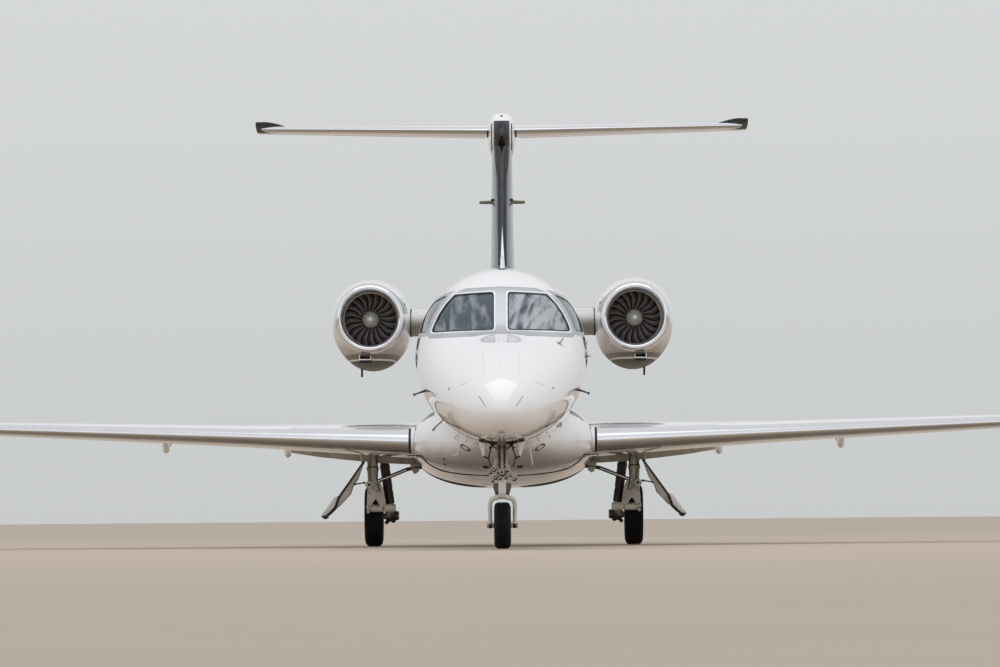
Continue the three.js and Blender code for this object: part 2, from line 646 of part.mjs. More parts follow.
function addWings() {
  let wing = wingSolid().subtract(wholeBody(-SEAM));
  const edgeLine = (back) => [
    [7445, 8500], [7445, wingPoint(7445, 0).point[1] + EDGE_DEPTH[1] + back],
    [2750, wingPoint(2750, 0).point[1] + 150 + back],
    [1000, wingPoint(1000, 0).point[1] + EDGE_DEPTH[0] + back],
    [990, wingPoint(990, 0).point[1] + EDGE_DEPTH[0] + back], [990, 5500],
  ];
  const edge = wing.intersect(prism(edgeLine(0), "xy", 800, 1800));
  wing = wing.subtract(prism(edgeLine(SEAM), "xy", 800, 1800));

  const flapRegion = prism(planStrip(FLAP.from + FLAP.gap, FLAP.to - FLAP.gap, FLAP.front, SLOT), "xy", 500, 2000);
  const flapCut = prism(planStrip(FLAP.from, FLAP.to, FLAP.front, 0), "xy", 500, 2000);
  const arms = FLAP.arms.map(flapArm);
  const flap = join(wing.intersect(flapRegion), ...arms.map((a) => a.arm));
  wing = join(wing.subtract(flapCut), ...arms.map((a) => a.fixed));

  const [a, b] = [wingPoint(AILERON.from + 10, AILERON.hinge), wingPoint(AILERON.to - 10, AILERON.hinge)];
  const aileron = splitAtHinge(
    wing, a, b,
    prism(planStrip(AILERON.from, AILERON.to, AILERON.hinge, 0), "xy", 500, 2000),
    prism(planStrip(AILERON.from - SLOT, AILERON.to + SLOT, AILERON.hinge, -8), "xy", 500, 2000),
    18, [0, 2],
  );
  wing = aileron.fixed;

  // Bays in the underside for the leg and the shock strut, and the pad that takes a jack
  const { inner, outer, halfLength, top } = LEG_BAY;
  const legBay = box([inner, outer], [LEG.station - halfLength, LEG.station + halfLength], [600, top]);
  const { x, station, pocket } = SHOCK;
  const shockBay = box([x - pocket, x + pocket], [station - pocket, station + pocket], [600, SHOCK.top]);
  const pad = wingPoint(JACK_PAD.x, JACK_PAD.share);
  const padFoot = pad.point[2] - pad.half - JACK_PAD.drop;
  wing = wing.subtract(legBay).subtract(shockBay)
    .add(bar([pad.point[0], pad.point[1], padFoot], pad.point, JACK_PAD.radius, JACK_PAD.radius, 8));
  add("wing_port", wing, "white");
  add("wing_starboard", wing, "white").scale.x = -1;
  addPair("wing_leading_edge", edge, "polished");
  addPair("flap", flap, "white");
  addPair("aileron", aileron.moving, "white");
}

function addTail() {
  const section = (row) => airfoil(row.slice(0, 3), row[3], row[4], [0, 0, 1], 0, TAIL_TRIM);
  const half = loft(TAILPLANE.map(section));
  const [a, b] = [tailPoint(ELEVATOR.from + 10, ELEVATOR.hinge), tailPoint(ELEVATOR.to - 10, ELEVATOR.hinge)];
  const past = [3100, 16500];
  const [hornTip, hornFront] = ELEVATOR.horn;
  const outline = (inner, ahead, back) => [
    [inner, tailPoint(inner, ELEVATOR.hinge).point[1] - ahead],
    [ELEVATOR.to - back, tailPoint(ELEVATOR.to, ELEVATOR.hinge).point[1] - ahead],
    [hornTip - back, hornFront], [past[0], hornFront], past, [inner, past[1]],
  ];
  const moving = outline(ELEVATOR.from, 0, 0);
  const cutout = outline(ELEVATOR.from - SLOT, 10, ELEVATOR.hornGap);
  const split = splitAtHinge(
    half, a, b, prism(moving, "xy", 4500, 5300), prism(cutout, "xy", 4500, 5300), 18, [0, 1],
  );
  const elevator = turned(split.moving, a.point, b.point, -ELEVATOR.droop);
  const bullet = loft(BULLET.map(([s, w, bottom, top]) =>
    ellipseRing(0, s, w, bottom, (bottom + top) / 2, top, 16)));
  const tailplane = join(bullet, split.fixed, split.fixed.mirror([1, 0, 0]));
  add("tailplane", tailplane, "white");
  addPair("elevator", elevator, "white");

  const finRing = ([z, station, chord, thickness]) =>
    airfoil([0, station, z], chord, thickness / chord, [1, 0, 0]);
  const dorsal = prism(
    [[DORSAL.front, 2700], [DORSAL.peakStation + 150, 2700], [DORSAL.peakStation + 150, DORSAL.peak],
      [DORSAL.peakStation - 120, DORSAL.peak - 160], [11500, 2950], [DORSAL.front, 2805]],
    "yz", -DORSAL.halfWidth, DORSAL.halfWidth,
  );
  const [c, d] = [finPoint(RUDDER.from + 12, RUDDER.hinge), finPoint(RUDDER.to - 12, RUDDER.hinge)];
  const rudderOutline = (from, to, ahead) => [
    [finPoint(from, RUDDER.hinge).point[1] - ahead, from], [16000, from], [16000, to],
    [finPoint(to, RUDDER.hinge).point[1] - ahead, to],
  ];
  const finBody = join(loft(FIN.map(finRing)), dorsal);
  const finSplit = splitAtHinge(
    finBody, c, d,
    prism(rudderOutline(RUDDER.from, RUDDER.to, 0), "yz", -400, 400),
    prism(rudderOutline(RUDDER.from - RUDDER.gap, RUDDER.to + RUDDER.gap, 22), "yz", -400, 400),
    40, [0, 2],
  );
  const grownBullet = loft(BULLET.map(([s, w, bottom, top]) =>
    ellipseRing(0, s, w + SEAM, bottom - SEAM, (bottom + top) / 2, top + SEAM, 16)));
  add("fin", largest(finSplit.fixed.subtract(wholeBody(-SEAM)).subtract(grownBullet)), "white");
  add("rudder", finSplit.moving, "white");

  const { front, back, bottom, halfWidth } = VENTRAL;
  const ventral = prism(
    [[front, 1900], [back, 2200], [back + 60, bottom + 330], [back - 220, bottom + 40], [front + 620, bottom]],
    "yz", -halfWidth, halfWidth,
  );
  add("ventral_fin", largest(ventral.subtract(wholeBody(-SEAM))), "white");
}

function nacelleBody(grow = 0) {
  return loft(NACELLE.map(([s, half, rise, drop]) =>
    ellipseRing(ENGINE.x, s, half + grow, ENGINE.z - drop - grow, ENGINE.z, ENGINE.z + rise + grow, 24)));
}

function addEngines() {
  const duct = (inset) => loft([
    [9600, DUCT[0][1]], ...DUCT.slice(1, -1), [12480, DUCT.at(-1)[1]],
  ].map(([s, size]) => {
    const r = size - inset;
    return ellipseRing(ENGINE.x, s, r, ENGINE.z - r, ENGINE.z, ENGINE.z + r, 24);
  }));
  addPair("nacelle", nacelleBody().subtract(duct(0)), "white");

  const lipProfile = [
    [297, 9619.7], [299, 9570], [312, 9522], [335, 9500], [358, 9512], [378, 9552], [390, 9619.7],
    [297, 9619.7],
  ];
  addPair("inlet_lip", turnedPiece(lipProfile, "y", [ENGINE.x, 0, ENGINE.z], 24), "polished");

  const core = turnedPiece(
    [[0, FAN.back + 0.5], [40, FAN.back + 0.5], [40, 10150], [190, 10150], [200, 10400], [200, 11700],
      [150, 12250], [0, 12640]],
    "y", [ENGINE.x, 0, ENGINE.z], 20,
  );
  const strut = box([190, 340], [10330, 10620], [-9, 9]);
  const struts = Array.from({ length: 6 }, (_, k) => {
    const geometry = geometryOf(strut).rotateY((k * Math.PI) / 3 + 0.2);
    return solidOf(geometry.translate(ENGINE.x, 0, ENGINE.z));
  });
  addPair("engine_core", join(core, join(...struts).intersect(duct(SEAM))), "gear");

  const stub = loft([PYLON.inner, PYLON.outer].map((x) =>
    airfoil([x, PYLON.front, ENGINE.z - PYLON.drop], PYLON.chord, PYLON.thickness / PYLON.chord, [0, 0, 1])));
  const pylon = stub.subtract(wholeBody(-SEAM)).subtract(nacelleBody(SEAM));
  addPair("pylon", largest(pylon), "white");

  const fan = fanSolid();
  add("fan_port", solidOf(geometryOf(fan).translate(ENGINE.x, 0, ENGINE.z)), "fan");
  add("fan_starboard", solidOf(geometryOf(fan).translate(-ENGINE.x, 0, ENGINE.z)), "fan");
}

// Spinner, hub and swept blades, about the Y axis.
function fanSolid() {
  const { blades, front, hub, tip } = FAN;
  const spinner = turnedPiece(
    [[0, front - 150], [26, front - 138], [hub - 18, front - 40], [hub, front], [hub + 6, FAN.back], [0, FAN.back]],
    "y", [0, 0, 0], 12,
  );
  // Blade sections: radius, chord, angle from the axis, sweep around
  const sections = [
    [hub - 6, 92, 28, 0],
    [200, 108, 48, 6],
    [tip, 116, 62, -2],
  ];
  const blade = loft(sections.map(([r, chord, angle, sweep]) => {
    const a = THREE.MathUtils.degToRad(angle);
    const turn = THREE.MathUtils.degToRad(sweep);
    return [[-0.5, 0], [0, 0.045], [0.5, 0], [0, -0.045]].map(([u, v]) => {
      const along = chord * (u * Math.cos(a) - v * Math.sin(a));
      const around = turn + (chord * (u * Math.sin(a) + v * Math.cos(a))) / r;
      return [r * Math.sin(around), front + 60 + along, r * Math.cos(around)];
    });
  }));
  const all = Array.from({ length: blades }, (_, k) =>
    solidOf(geometryOf(blade).rotateY((2 * Math.PI * k) / blades)));
  return join(spinner, ...all);
}

// A wheel and its tyre about an X axis, resting on a flat of the tyre.
function wheelPieces({ x, station, radius, width, rim, bore }) {
  const centre = [x, station, radius * Math.cos(Math.PI / TYRE_FACETS)];
  const h = width / 2;
  const tyreProfile = [
    [rim, -0.78 * h], [rim + 0.4 * (radius - rim), -h], [radius - 0.16 * h, -0.84 * h],
    [radius, -0.52 * h], [radius, 0.52 * h], [radius - 0.16 * h, 0.84 * h],
    [rim + 0.4 * (radius - rim), h], [rim, 0.78 * h], [rim, -0.78 * h],
  ];
  const seat = rim * Math.cos(Math.PI / TYRE_FACETS) - SEAM;
  const rimProfile = [
    [bore, -0.5 * h], [bore * 1.9, -0.5 * h], [seat * 0.8, -0.3 * h], [seat * 0.88, -0.74 * h],
    [seat, -0.78 * h], [seat, 0.78 * h], [seat * 0.88, 0.74 * h], [seat * 0.8, 0.3 * h],
    [bore * 1.9, 0.5 * h], [bore, 0.5 * h], [bore, -0.5 * h],
  ];
  return {
    centre,
    tyre: turnedPiece(tyreProfile, "x", centre, TYRE_FACETS, Math.PI / TYRE_FACETS),
    wheel: turnedPiece(rimProfile, "x", centre, 20),
  };
}

function addMainGear() {
  const { x } = MAIN_WHEEL;
  const { centre, tyre, wheel } = wheelPieces(MAIN_WHEEL);
  const axleZ = centre[2];
  addPair("main_tyre", tyre, "rubber");
  addPair("main_wheel", wheel, "gear");

  const { station: y, knee, pivot } = LEG;
  const reach = LEG_BAY.halfLength - SEAM;
  const top = LEG_BAY.top - 50;
  const [braceX, braceZ] = BRACE_END;
  const leg = join(
    bar([x, y - reach, top], [x, y + reach, top], 42),
    bar([x, y, top], [x, y, knee], 60, 52, 14),
    bar([x - 20, y - 30, knee + 30], [x + 60, y - 30, knee + 30], 44),
    box([x - 58, x - 32], [y - 36, y + 36], [pivot, knee + 10]),
    box([x + 32, x + 58], [y - 36, y + 36], [pivot, knee + 10]),
    box([x - 58, x + 58], [y - 40, y + 40], [knee - 60, knee + 20]),
    bar([x - 58, y, pivot], [x - 32, y, pivot], 38),
    bar([x + 32, y, pivot], [x + 58, y, pivot], 38),
    bar([x - 20, y - 45, knee + 30], [braceX, y - 45, braceZ], 17, 17, 8),
    bar([x - 20, y + 5, knee + 30], [braceX, y + 5, braceZ], 17, 17, 8),
    bar([braceX, 8170 + SEAM, braceZ], [braceX, 8410 - SEAM, braceZ], 26),
  );
  addPair("main_leg", leg, "gear");

  const armX = SHOCK.x;
  const axle = [armX, centre[1], axleZ];
  const link = join(
    bar([x - 31.5, y, pivot], [x + 31.5, y, pivot], 36),
    bar([x, y, pivot], [x, y + 68, pivot - 3], 26),
    bar([x + 22, y + 68, pivot - 3], [armX - 20, y + 68, pivot - 3], 22),
    bar([armX, y + 62, pivot - 3], axle, 27),
    bar([armX - 60, axle[1], axleZ], [x + 62, axle[1], axleZ], 34, 34, 14),
    bar([armX - 105, axle[1], axleZ + 10], [armX + 24, axle[1], axleZ + 10], 88, 88, 16),
    box([armX - 52, armX - 22], [SHOCK.station - 26, SHOCK.station + 6], [axleZ + 60, SHOCK.eye]),
    bar([armX - 58, SHOCK.station - 10, SHOCK.eye], [armX - 16, SHOCK.station - 10, SHOCK.eye], 24),
  );
  addPair("main_trailing_link", link, "gear");

  const shockMiddle = [armX - 20, SHOCK.station - 5, 640];
  const shock = join(
    bar([armX - 36, SHOCK.station - 10, SHOCK.eye + 26], shockMiddle, 32),
    bar([shockMiddle[0], shockMiddle[1], shockMiddle[2] - 20], [armX, SHOCK.station, 930], 56, 60, 14),
    bar([armX, SHOCK.station, 900], [armX, SHOCK.station, SHOCK.top - SEAM], 40),
  );
  addPair("main_shock_strut", shock, "black");

  // A flat door beside the leg, on two bent hinges under the wing and held off by a short rod
  const [doorTop, doorFoot] = [[1512, 905], [1958, 318]];
  const across = [0.022 * 587, 0.022 * 446];
  const panel = prism(
    [doorTop, doorFoot, [doorFoot[0] + across[0], doorFoot[1] + across[1]],
      [doorTop[0] + across[0] * 1.2, doorTop[1] + across[1]]],
    "xz", y - 190, y + 215,
  );
  const hinges = [y - 150, y + 170].map((at) => bar([1522, at, 900], [1560, at, 1060], 12, 12, 8));
  const stay = bar([x + 60 + SEAM, y - 30, knee + 30], [1706, y - 30, knee + 25], 11, 11, 8);
  addPair("main_gear_door", largest(join(panel, stay, ...hinges).subtract(wingSolid(SEAM))), "white");
}

function addNoseGear() {
  const { centre, tyre, wheel } = wheelPieces(NOSE_WHEEL);
  add("nose_tyre", tyre, "rubber");
  add("nose_wheel", wheel, "gear");

  const { station: y, top, collar } = NOSE_LEG;
  const wall = NOSE_BAY.halfWidth - SEAM;
  const strut = join(
    bar([0, y, collar + SEAM], [0, y, top], 50, 56, 14),
    bar([0, y, collar + SEAM], [0, y, collar + 110], 72, 72, 14),
    bar([-wall, y, top - 60], [wall, y, top - 60], 30),
    bar([-40, y + 20, 860], [-95, y + 300, top - 40], 20),
    bar([40, y + 20, 860], [95, y + 300, top - 40], 20),
    bar([-wall, y + 300, top - 40], [wall, y + 300, top - 40], 26),
    bar([-118, y - 40, collar + 60], [118, y - 40, collar + 80], 30),
  );
  add("nose_strut", strut, "gear");

  const half = NOSE_WHEEL.width / 2;
  const arch = [
    [-(half + 45), centre[1], centre[2]], [-(half + 52), y + 30, 400], [-(half + 22), y + 8, 485],
    [0, y, 512], [half + 22, y + 8, 485], [half + 52, y + 30, 400], [half + 45, centre[1], centre[2]],
  ];
  const fork = join(
    bar([0, y, 505], [0, y, collar], 32, 32, 12),
    pipe(arch, 21, 8),
    bar([-(half + 78), centre[1], centre[2]], [half + 78, centre[1], centre[2]], 23, 23, 14),
    bar([0, y + 20, 540], [0, y + 150, 615], 26),
    bar([0, y + 150, 615], [0, y + 28, collar - 32], 24),
  );
  add("nose_fork", fork, "frame");

  const doorOutline = [[-0.5, 0], [0.5, 0], [0.5, 1], [-0.5, 1]];
  const [doorTop, doorFoot] = [[205, 1052], [140, 875]];
  const door = prism(
    doorOutline.map(([u, v]) => [doorFoot[0] + (doorTop[0] - doorFoot[0]) * v + 14 * u,
      doorFoot[1] + (doorTop[1] - doorFoot[1]) * v]),
    "xz", 1300, 2420,
  );
  addPair("nose_gear_door", door.subtract(wholeBody(-SEAM)), "white");
}

function addInterior() {
  const trim = WALL + SEAM;
  const floorPlan = box([-PAST, PAST], [2450, CABIN_AFT - 5], [FLOOR_UNDER + SEAM, FLOOR_TOP]);
  const { front, back, sill } = ENTRY_DOOR;
  const doorSweep = box([sill, PAST], [front - 10, back + 10], [FLOOR_UNDER, FLOOR_TOP + 10]);
  const floor = floorPlan.intersect(fuselage(1990, CABIN_AFT, trim)).subtract(doorSweep);
  add("cabin_floor", floor, "carpet");

  const room = fuselage(2010, COCKPIT_AFT, trim + 2);
  const panel = prism(
    [[2120, 1800], [2300, 1700], [2620, 1760], [2640, 1990], [2560, 2060], [2230, 2060]], "yz", -PAST, PAST,
  ).intersect(room);
  const pedestal = prism([[2480, FLOOR_TOP + SEAM], [3020, FLOOR_TOP + SEAM], [3020, 1640], [2600, 1790], [2480, 1790]],
    "yz", -115, 115);
  add("instrument_panel", join(panel, pedestal), "black");

  // A seat facing forward (1) or aft (-1), with its back behind its cushion
  const seat = (x, y, facing, width) => {
    const place = ([u, v]) => [y + u * facing, FLOOR_TOP + 0.5 + v];
    const [half, armHalf] = [width / 2, width / 2 + 60];
    const arm = [[-130, 205], [235, 205], [235, 470], [-90, 450]].map(place);
    return join(
      prism([[-230, 210], [250, 200], [390, 820], [290, 830], [150, 350], [-230, 360]].map(place),
        "yz", x - half, x + half),
      prism(arm, "yz", x - armHalf, x - half),
      prism(arm, "yz", x + half, x + armHalf),
      prism([[-170, 0], [220, 0], [180, 215], [-130, 215]].map(place), "yz", x - 120, x + 120),
    );
  };
  const crewBase = box([-420, 420], [3220, 3260], [FLOOR_TOP + 0.5, FLOOR_TOP + 40]);
  add("cockpit_seats", join(seat(-330, 3170, 1, 420), seat(330, 3170, 1, 420), crewBase), "seat");

  const rows = [[5350, -1], [6650, 1], [7450, -1], [8700, 1]];
  const rails = [-1, 1].map((side) =>
    box([330 * side - 30, 330 * side + 30], [5200, 8850], [FLOOR_TOP + 0.5, FLOOR_TOP + 22]));
  const crossRail = box([-330, 330], [7020, 7060], [FLOOR_TOP + 0.5, FLOOR_TOP + 22]);
  const seats = rows.flatMap(([y, facing]) => [seat(-395, y, facing, 400), seat(395, y, facing, 400)]);
  const room2 = fuselage(5000, 9300, trim + 12);
  add("cabin_seats", join(...rails, crossRail, ...seats).intersect(room2), "seat");
}

addFuselage();
addGlass();
addWings();
addTail();
addEngines();
addMainGear();
addNoseGear();
addInterior();

// Hinge lines of the port side and the rudder, in metres in the row's frame, for the record.
const inRowFrame = ([x, y, z]) => [x, y - LENGTH / 2, z].map((v) => v / 1000);
const between = (pointAt, from, to, share) => [pointAt(from, share).point, pointAt(to, share).point];
jet.userData.hinges = {
  flap: flapHinge().map(inRowFrame),
  aileron: between(wingPoint, AILERON.from, AILERON.to, AILERON.hinge).map(inRowFrame),
  elevator: between(tailPoint, ELEVATOR.from, ELEVATOR.to, ELEVATOR.hinge).map(inRowFrame),
  rudder: between(finPoint, RUDDER.from, RUDDER.to, RUDDER.hinge).map(inRowFrame),
};

export default jet;
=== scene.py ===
"""The looks of a business jet parked on its gear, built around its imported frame."""

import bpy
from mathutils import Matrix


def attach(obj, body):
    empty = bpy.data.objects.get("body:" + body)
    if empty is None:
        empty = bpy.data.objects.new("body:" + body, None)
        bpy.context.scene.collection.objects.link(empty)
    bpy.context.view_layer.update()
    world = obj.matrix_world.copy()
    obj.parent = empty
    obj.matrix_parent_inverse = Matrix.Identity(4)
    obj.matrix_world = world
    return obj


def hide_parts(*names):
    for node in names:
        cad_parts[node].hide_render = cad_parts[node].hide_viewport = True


bl_info = {
    "name": "Business jet looks",
    "version": (1, 0, 0),
    "blender": (4, 5, 0),
    "location": "View3D > Sidebar > Jet",
    "description": "Builds the skins, glass, engines, gear and cabin of a parked business jet",
    "category": "Object",
}

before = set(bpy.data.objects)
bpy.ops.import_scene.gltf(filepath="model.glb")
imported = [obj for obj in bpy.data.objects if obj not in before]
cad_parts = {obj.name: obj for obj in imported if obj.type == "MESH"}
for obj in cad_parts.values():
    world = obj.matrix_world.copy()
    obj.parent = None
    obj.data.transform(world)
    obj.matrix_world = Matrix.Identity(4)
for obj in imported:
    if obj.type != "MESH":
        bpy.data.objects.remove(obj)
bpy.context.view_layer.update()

import math

import bmesh
import bpy
import numpy as np
from bpy.props import FloatProperty, FloatVectorProperty, IntProperty, PointerProperty
from mathutils import Matrix, Vector

# Sizes of the airframe, in millimetres: stations are distances aft of the nose tip. A seam parts two fixed
# solids, and a slot stands round a moving one
MID_LENGTH = 7820
WALL = 70
SEAM = 0.3
SLOT = 6

# Fuselage sections: station, top, widest, bottom, half width, squareness of the upper half
FUSELAGE = [
    (0, 1322, 1300, 1278, 24, 2), (40, 1408, 1302, 1216, 105, 2), (140, 1502, 1308, 1158, 200, 2),
    (350, 1622, 1325, 1098, 325, 2), (750, 1792, 1390, 1052, 480, 2.05), (1250, 1945, 1480, 1028, 610, 2.15),
    (1750, 2068, 1580, 1020, 700, 2.3), (2000, 2150, 1630, 1020, 735, 2.4),
    (2300, 2355, 1690, 1020, 772, 2.4), (2600, 2540, 1745, 1020, 802, 2.35),
    (3000, 2692, 1810, 1020, 832, 2.2), (3400, 2770, 1860, 1020, 852, 2.1),
    (3800, 2800, 1880, 1018, 862, 2), (9600, 2800, 1880, 1018, 862, 2), (10300, 2796, 1905, 1060, 835, 2),
    (11000, 2784, 1960, 1180, 765, 2), (11800, 2752, 2040, 1385, 640, 2), (12600, 2700, 2130, 1625, 480, 2),
    (13400, 2625, 2220, 1870, 310, 2), (14000, 2540, 2290, 2070, 175, 2), (14250, 2440, 2320, 2200, 90, 2),
]
RADOME_AFT, COCKPIT_AFT, CABIN_AFT, TAIL_END = 750, 3800, 9600, 14250
FLOOR_UNDER, FLOOR_TOP = 1300, 1340

# Belly fairing sections: station, half width, bottom, height of the widest line, top
BELLY = [
    (5200, 300, 1000, 1080, 1400), (5600, 560, 905, 1090, 1500), (6050, 800, 830, 1095, 1560),
    (6450, 940, 785, 1100, 1600), (7000, 980, 740, 1100, 1620), (7700, 988, 685, 1100, 1620),
    (8400, 985, 640, 1095, 1620), (9000, 965, 625, 1090, 1620), (9600, 900, 660, 1100, 1600),
    (10200, 740, 770, 1130, 1560), (10800, 480, 960, 1200, 1500), (11200, 260, 1150, 1260, 1450),
]

# Wing sections: out from centre, leading edge station, height, chord, thickness ratio, cant in degrees
WING = [
    (420, 6264, 1084, 3330, 0.125, 0), (1000, 6560, 1110, 2960, 0.125, 0), (2750, 7453, 1187, 2000, 0.12, 0),
    (7450, 9850, 1394, 900, 0.105, 0), (7680, 9985, 1425, 840, 0.1, 22), (7830, 10135, 1530, 760, 0.09, 55),
    (7895, 10390, 1760, 600, 0.08, 72), (7945, 10790, 2130, 330, 0.08, 80),
]
WING_INCIDENCE, WING_CAMBER = 1.2, 0.016
FLAP = {"from": 1075, "to": 4900, "front": 0.735, "gap": 38, "drop": 160, "ahead": 215, "arms": (2350, 3700)}
AILERON = {"from": 4990, "to": 7280, "hinge": 0.74}
EDGE_DEPTH = (190, 150, 95)
PLANFORM_X = (1000, 2750, 7445)

# Tailplane sections: out from centre, leading edge station, height, chord, thickness ratio
TAILPLANE = [(0, 13500, 4860, 1450, 0.098), (2960, 14786.5, 4988, 860, 0.09)]
TAIL_TRIM = -2
ELEVATOR = {"from": 205, "to": 2520, "hinge": 0.68, "horn": (2947, 14700), "horn_gap": 18, "droop": 7}
# Bullet fairing sections: station, half width, bottom, top
BULLET = [
    (13160, 18, 4775, 4810), (13300, 94, 4685, 4935), (13600, 155, 4590, 5060), (14050, 166, 4550, 5100),
    (14600, 155, 4575, 5075), (15050, 106, 4670, 5005), (15350, 26, 4790, 4880),
]
# Fin sections: height, leading edge station, chord, thickness
FIN = [(2560, 11610, 2860, 300), (3600, 12440, 2240, 262), (4760, 13370, 1560, 235)]
RUDDER = {"from": 2900, "to": 4480, "hinge": 0.7, "gap": 23}
DORSAL = ((10150, 2700), (12710, 2700), (12710, 3600), (12440, 3440), (11500, 2950), (10150, 2805))
DORSAL_HALF = 42
VENTRAL = ((12350, 1900), (13950, 2200), (14010, 1810), (13730, 1520), (12970, 1480))
PYLON = {"front": 10120, "chord": 1900, "thickness": 300, "inner": 450, "outer": 1110, "drop": 18}

# Nacelle sections: station, half width, rise above the axis, drop below it
ENGINE = (1468, 2518)
NACELLE = [
    (9620, 390, 390, 390), (9900, 428, 430, 474), (10400, 452, 464, 541), (11000, 452, 467, 550),
    (11600, 416, 420, 484), (12100, 340, 342, 362), (12450, 282, 282, 282),
]
DUCT = [(9600, 297), (9620, 297), (9950, 309), (10250, 309), (10800, 330), (11900, 292), (12480, 256)]
FAN = {"front": 9985, "back": 10105, "hub": 88, "tip": 298}

# Windows and doors: outlines from the front (across, up) or from the side (station, up)
WINDSCREEN = ((72, 2126), (678, 2116), (643, 2208), (600, 2300), (533, 2402), (452, 2492), (72, 2510))
SIDE_WINDOW = ((2520, 2125), (3400, 2140), (3500, 2265), (3290, 2440), (2870, 2492))
CABIN_WINDOW = {"first": 4640, "pitch": 800, "count": 6, "z": 2110, "width": 300, "height": 410, "corner": 90}
ENTRY_DOOR = {"front": 3960, "back": 4700, "bottom": 1240, "top": 2640, "corner": 110, "low": 55}
ENTRY_HINGE = {"x": 590, "z": 1228, "reach": 1409, "stations": (4090, 4570), "foot": (545, 600)}
BAGGAGE_DOOR = {"front": 9900, "back": 10620, "bottom": 1400, "top": 2060, "corner": 70, "low": 40}
BAGGAGE_HINGE = {"x": 715, "z": 1394, "reach": 660, "stations": (9990, 10190), "foot": (655, 708)}

# Landing gear
MAIN_WHEEL = {"x": 1413, "station": 8720, "radius": 330, "width": 200, "rim": 178, "bore": 35.1}
NOSE_WHEEL = {"x": 0, "station": 2200, "radius": 228.6, "width": 146, "rim": 102, "bore": 24.1}
TYRE_FLAT = math.cos(math.pi / 32)
LEG = {"station": 8290, "knee": 640, "pivot": 430, "top": 1015, "reach": 124.7}
LEG_BAY = {"inner": 700, "outer": 1530, "half": 125, "top": 1065}
BRACE_END = (840, 852)
SHOCK = {"x": 1262, "station": 8700, "pocket": 62, "top": 1044.7, "eye": 452}
NOSE_LEG = {"station": 2150, "top": 1225, "collar": 700}
NOSE_BAY = {"half": 185, "front": 1150, "back": 2480, "top": 1240}


class JetColours(bpy.types.PropertyGroup):
    """Colours of the jet's finishes."""

    def colour(name, description, default):
        return FloatVectorProperty(
            name=name, description=description, subtype="COLOR", size=3, min=0, max=1, default=default)

    paint: colour("Paint", "White paint of the skins", (0.86, 0.865, 0.87))
    # The fin's grey-blue is a painted reflection on its white sides seen at a grazing angle
    fin: colour("Fin", "Grey-blue paint of the fin's sides", (0.138, 0.163, 0.18))
    metal: colour("Polished metal", "Leading edges and inlet lips", (0.80, 0.81, 0.83))
    frames: colour("Window frames", "Brushed metal round the windscreen", (0.56, 0.57, 0.59))
    glass: colour("Glass", "Tint of the windscreen", (0.03, 0.055, 0.08))
    fan: colour("Fan", "Titanium of the fan blades", (0.30, 0.265, 0.25))
    gear: colour("Gear paint", "Paint of the gear's castings", (0.60, 0.57, 0.50))
    rubber: colour("Rubber", "Tyres", (0.006, 0.006, 0.007))
    leather: colour("Leather", "Seats", (0.52, 0.44, 0.34))
    carpet: colour("Carpet", "Cabin floor", (0.20, 0.17, 0.15))
    floor: colour("Floor", "The pale floor under the jet", (0.52, 0.43, 0.35))

    del colour


class JetSizes(bpy.types.PropertyGroup):
    """Sizes of the jet's fine detail."""

    sides: IntProperty(
        name="Sides", description="Sides of the fuselage's skin", default=112, min=24, max=256)
    step: FloatProperty(name="Step", description="Spacing of the skin's sections, in millimetres",
                        default=90, min=20, max=400)
    rivet: FloatProperty(
        name="Rivet", description="Radius of the windscreen frames' fasteners, in millimetres",
        default=4.2, min=1, max=10)
    blades: IntProperty(name="Blades", description="Blades of each fan", default=20, min=8, max=40)


def colours():
    return bpy.context.scene.jet_colours


def sizes():
    return bpy.context.scene.jet_sizes


# Shader maths


def maths(operation, turned=False):
    """A method of a signal that adds a Math node, with the signal as its first value or, turned, its last."""
    def method(self, *others):
        values = (self, *others)
        return self.finish.node("Math", {"operation": operation}, values[::-1] if turned else values)
    return method


class Signal:
    """An output socket in a finish. Arithmetic on it adds Math nodes."""

    def __init__(self, finish, socket):
        self.finish, self.socket = finish, socket

    __add__, __sub__, __mul__ = maths("ADD"), maths("SUBTRACT"), maths("MULTIPLY")
    __rsub__, __abs__, __or__ = maths("SUBTRACT", True), maths("ABSOLUTE"), maths("MAXIMUM")
    __lt__, __gt__ = maths("LESS_THAN"), maths("GREATER_THAN")
    # near(value, reach) is 1 within reach of value, and 0 elsewhere
    near = maths("COMPARE")

    def rise(self, start, end):
        """0 below start, 1 above end, and smooth between them."""
        return self.finish.node(
            "MapRange", {"interpolation_type": "SMOOTHSTEP"},
            {"Value": self, "From Min": start, "From Max": end, "To Min": 0.0, "To Max": 1.0})


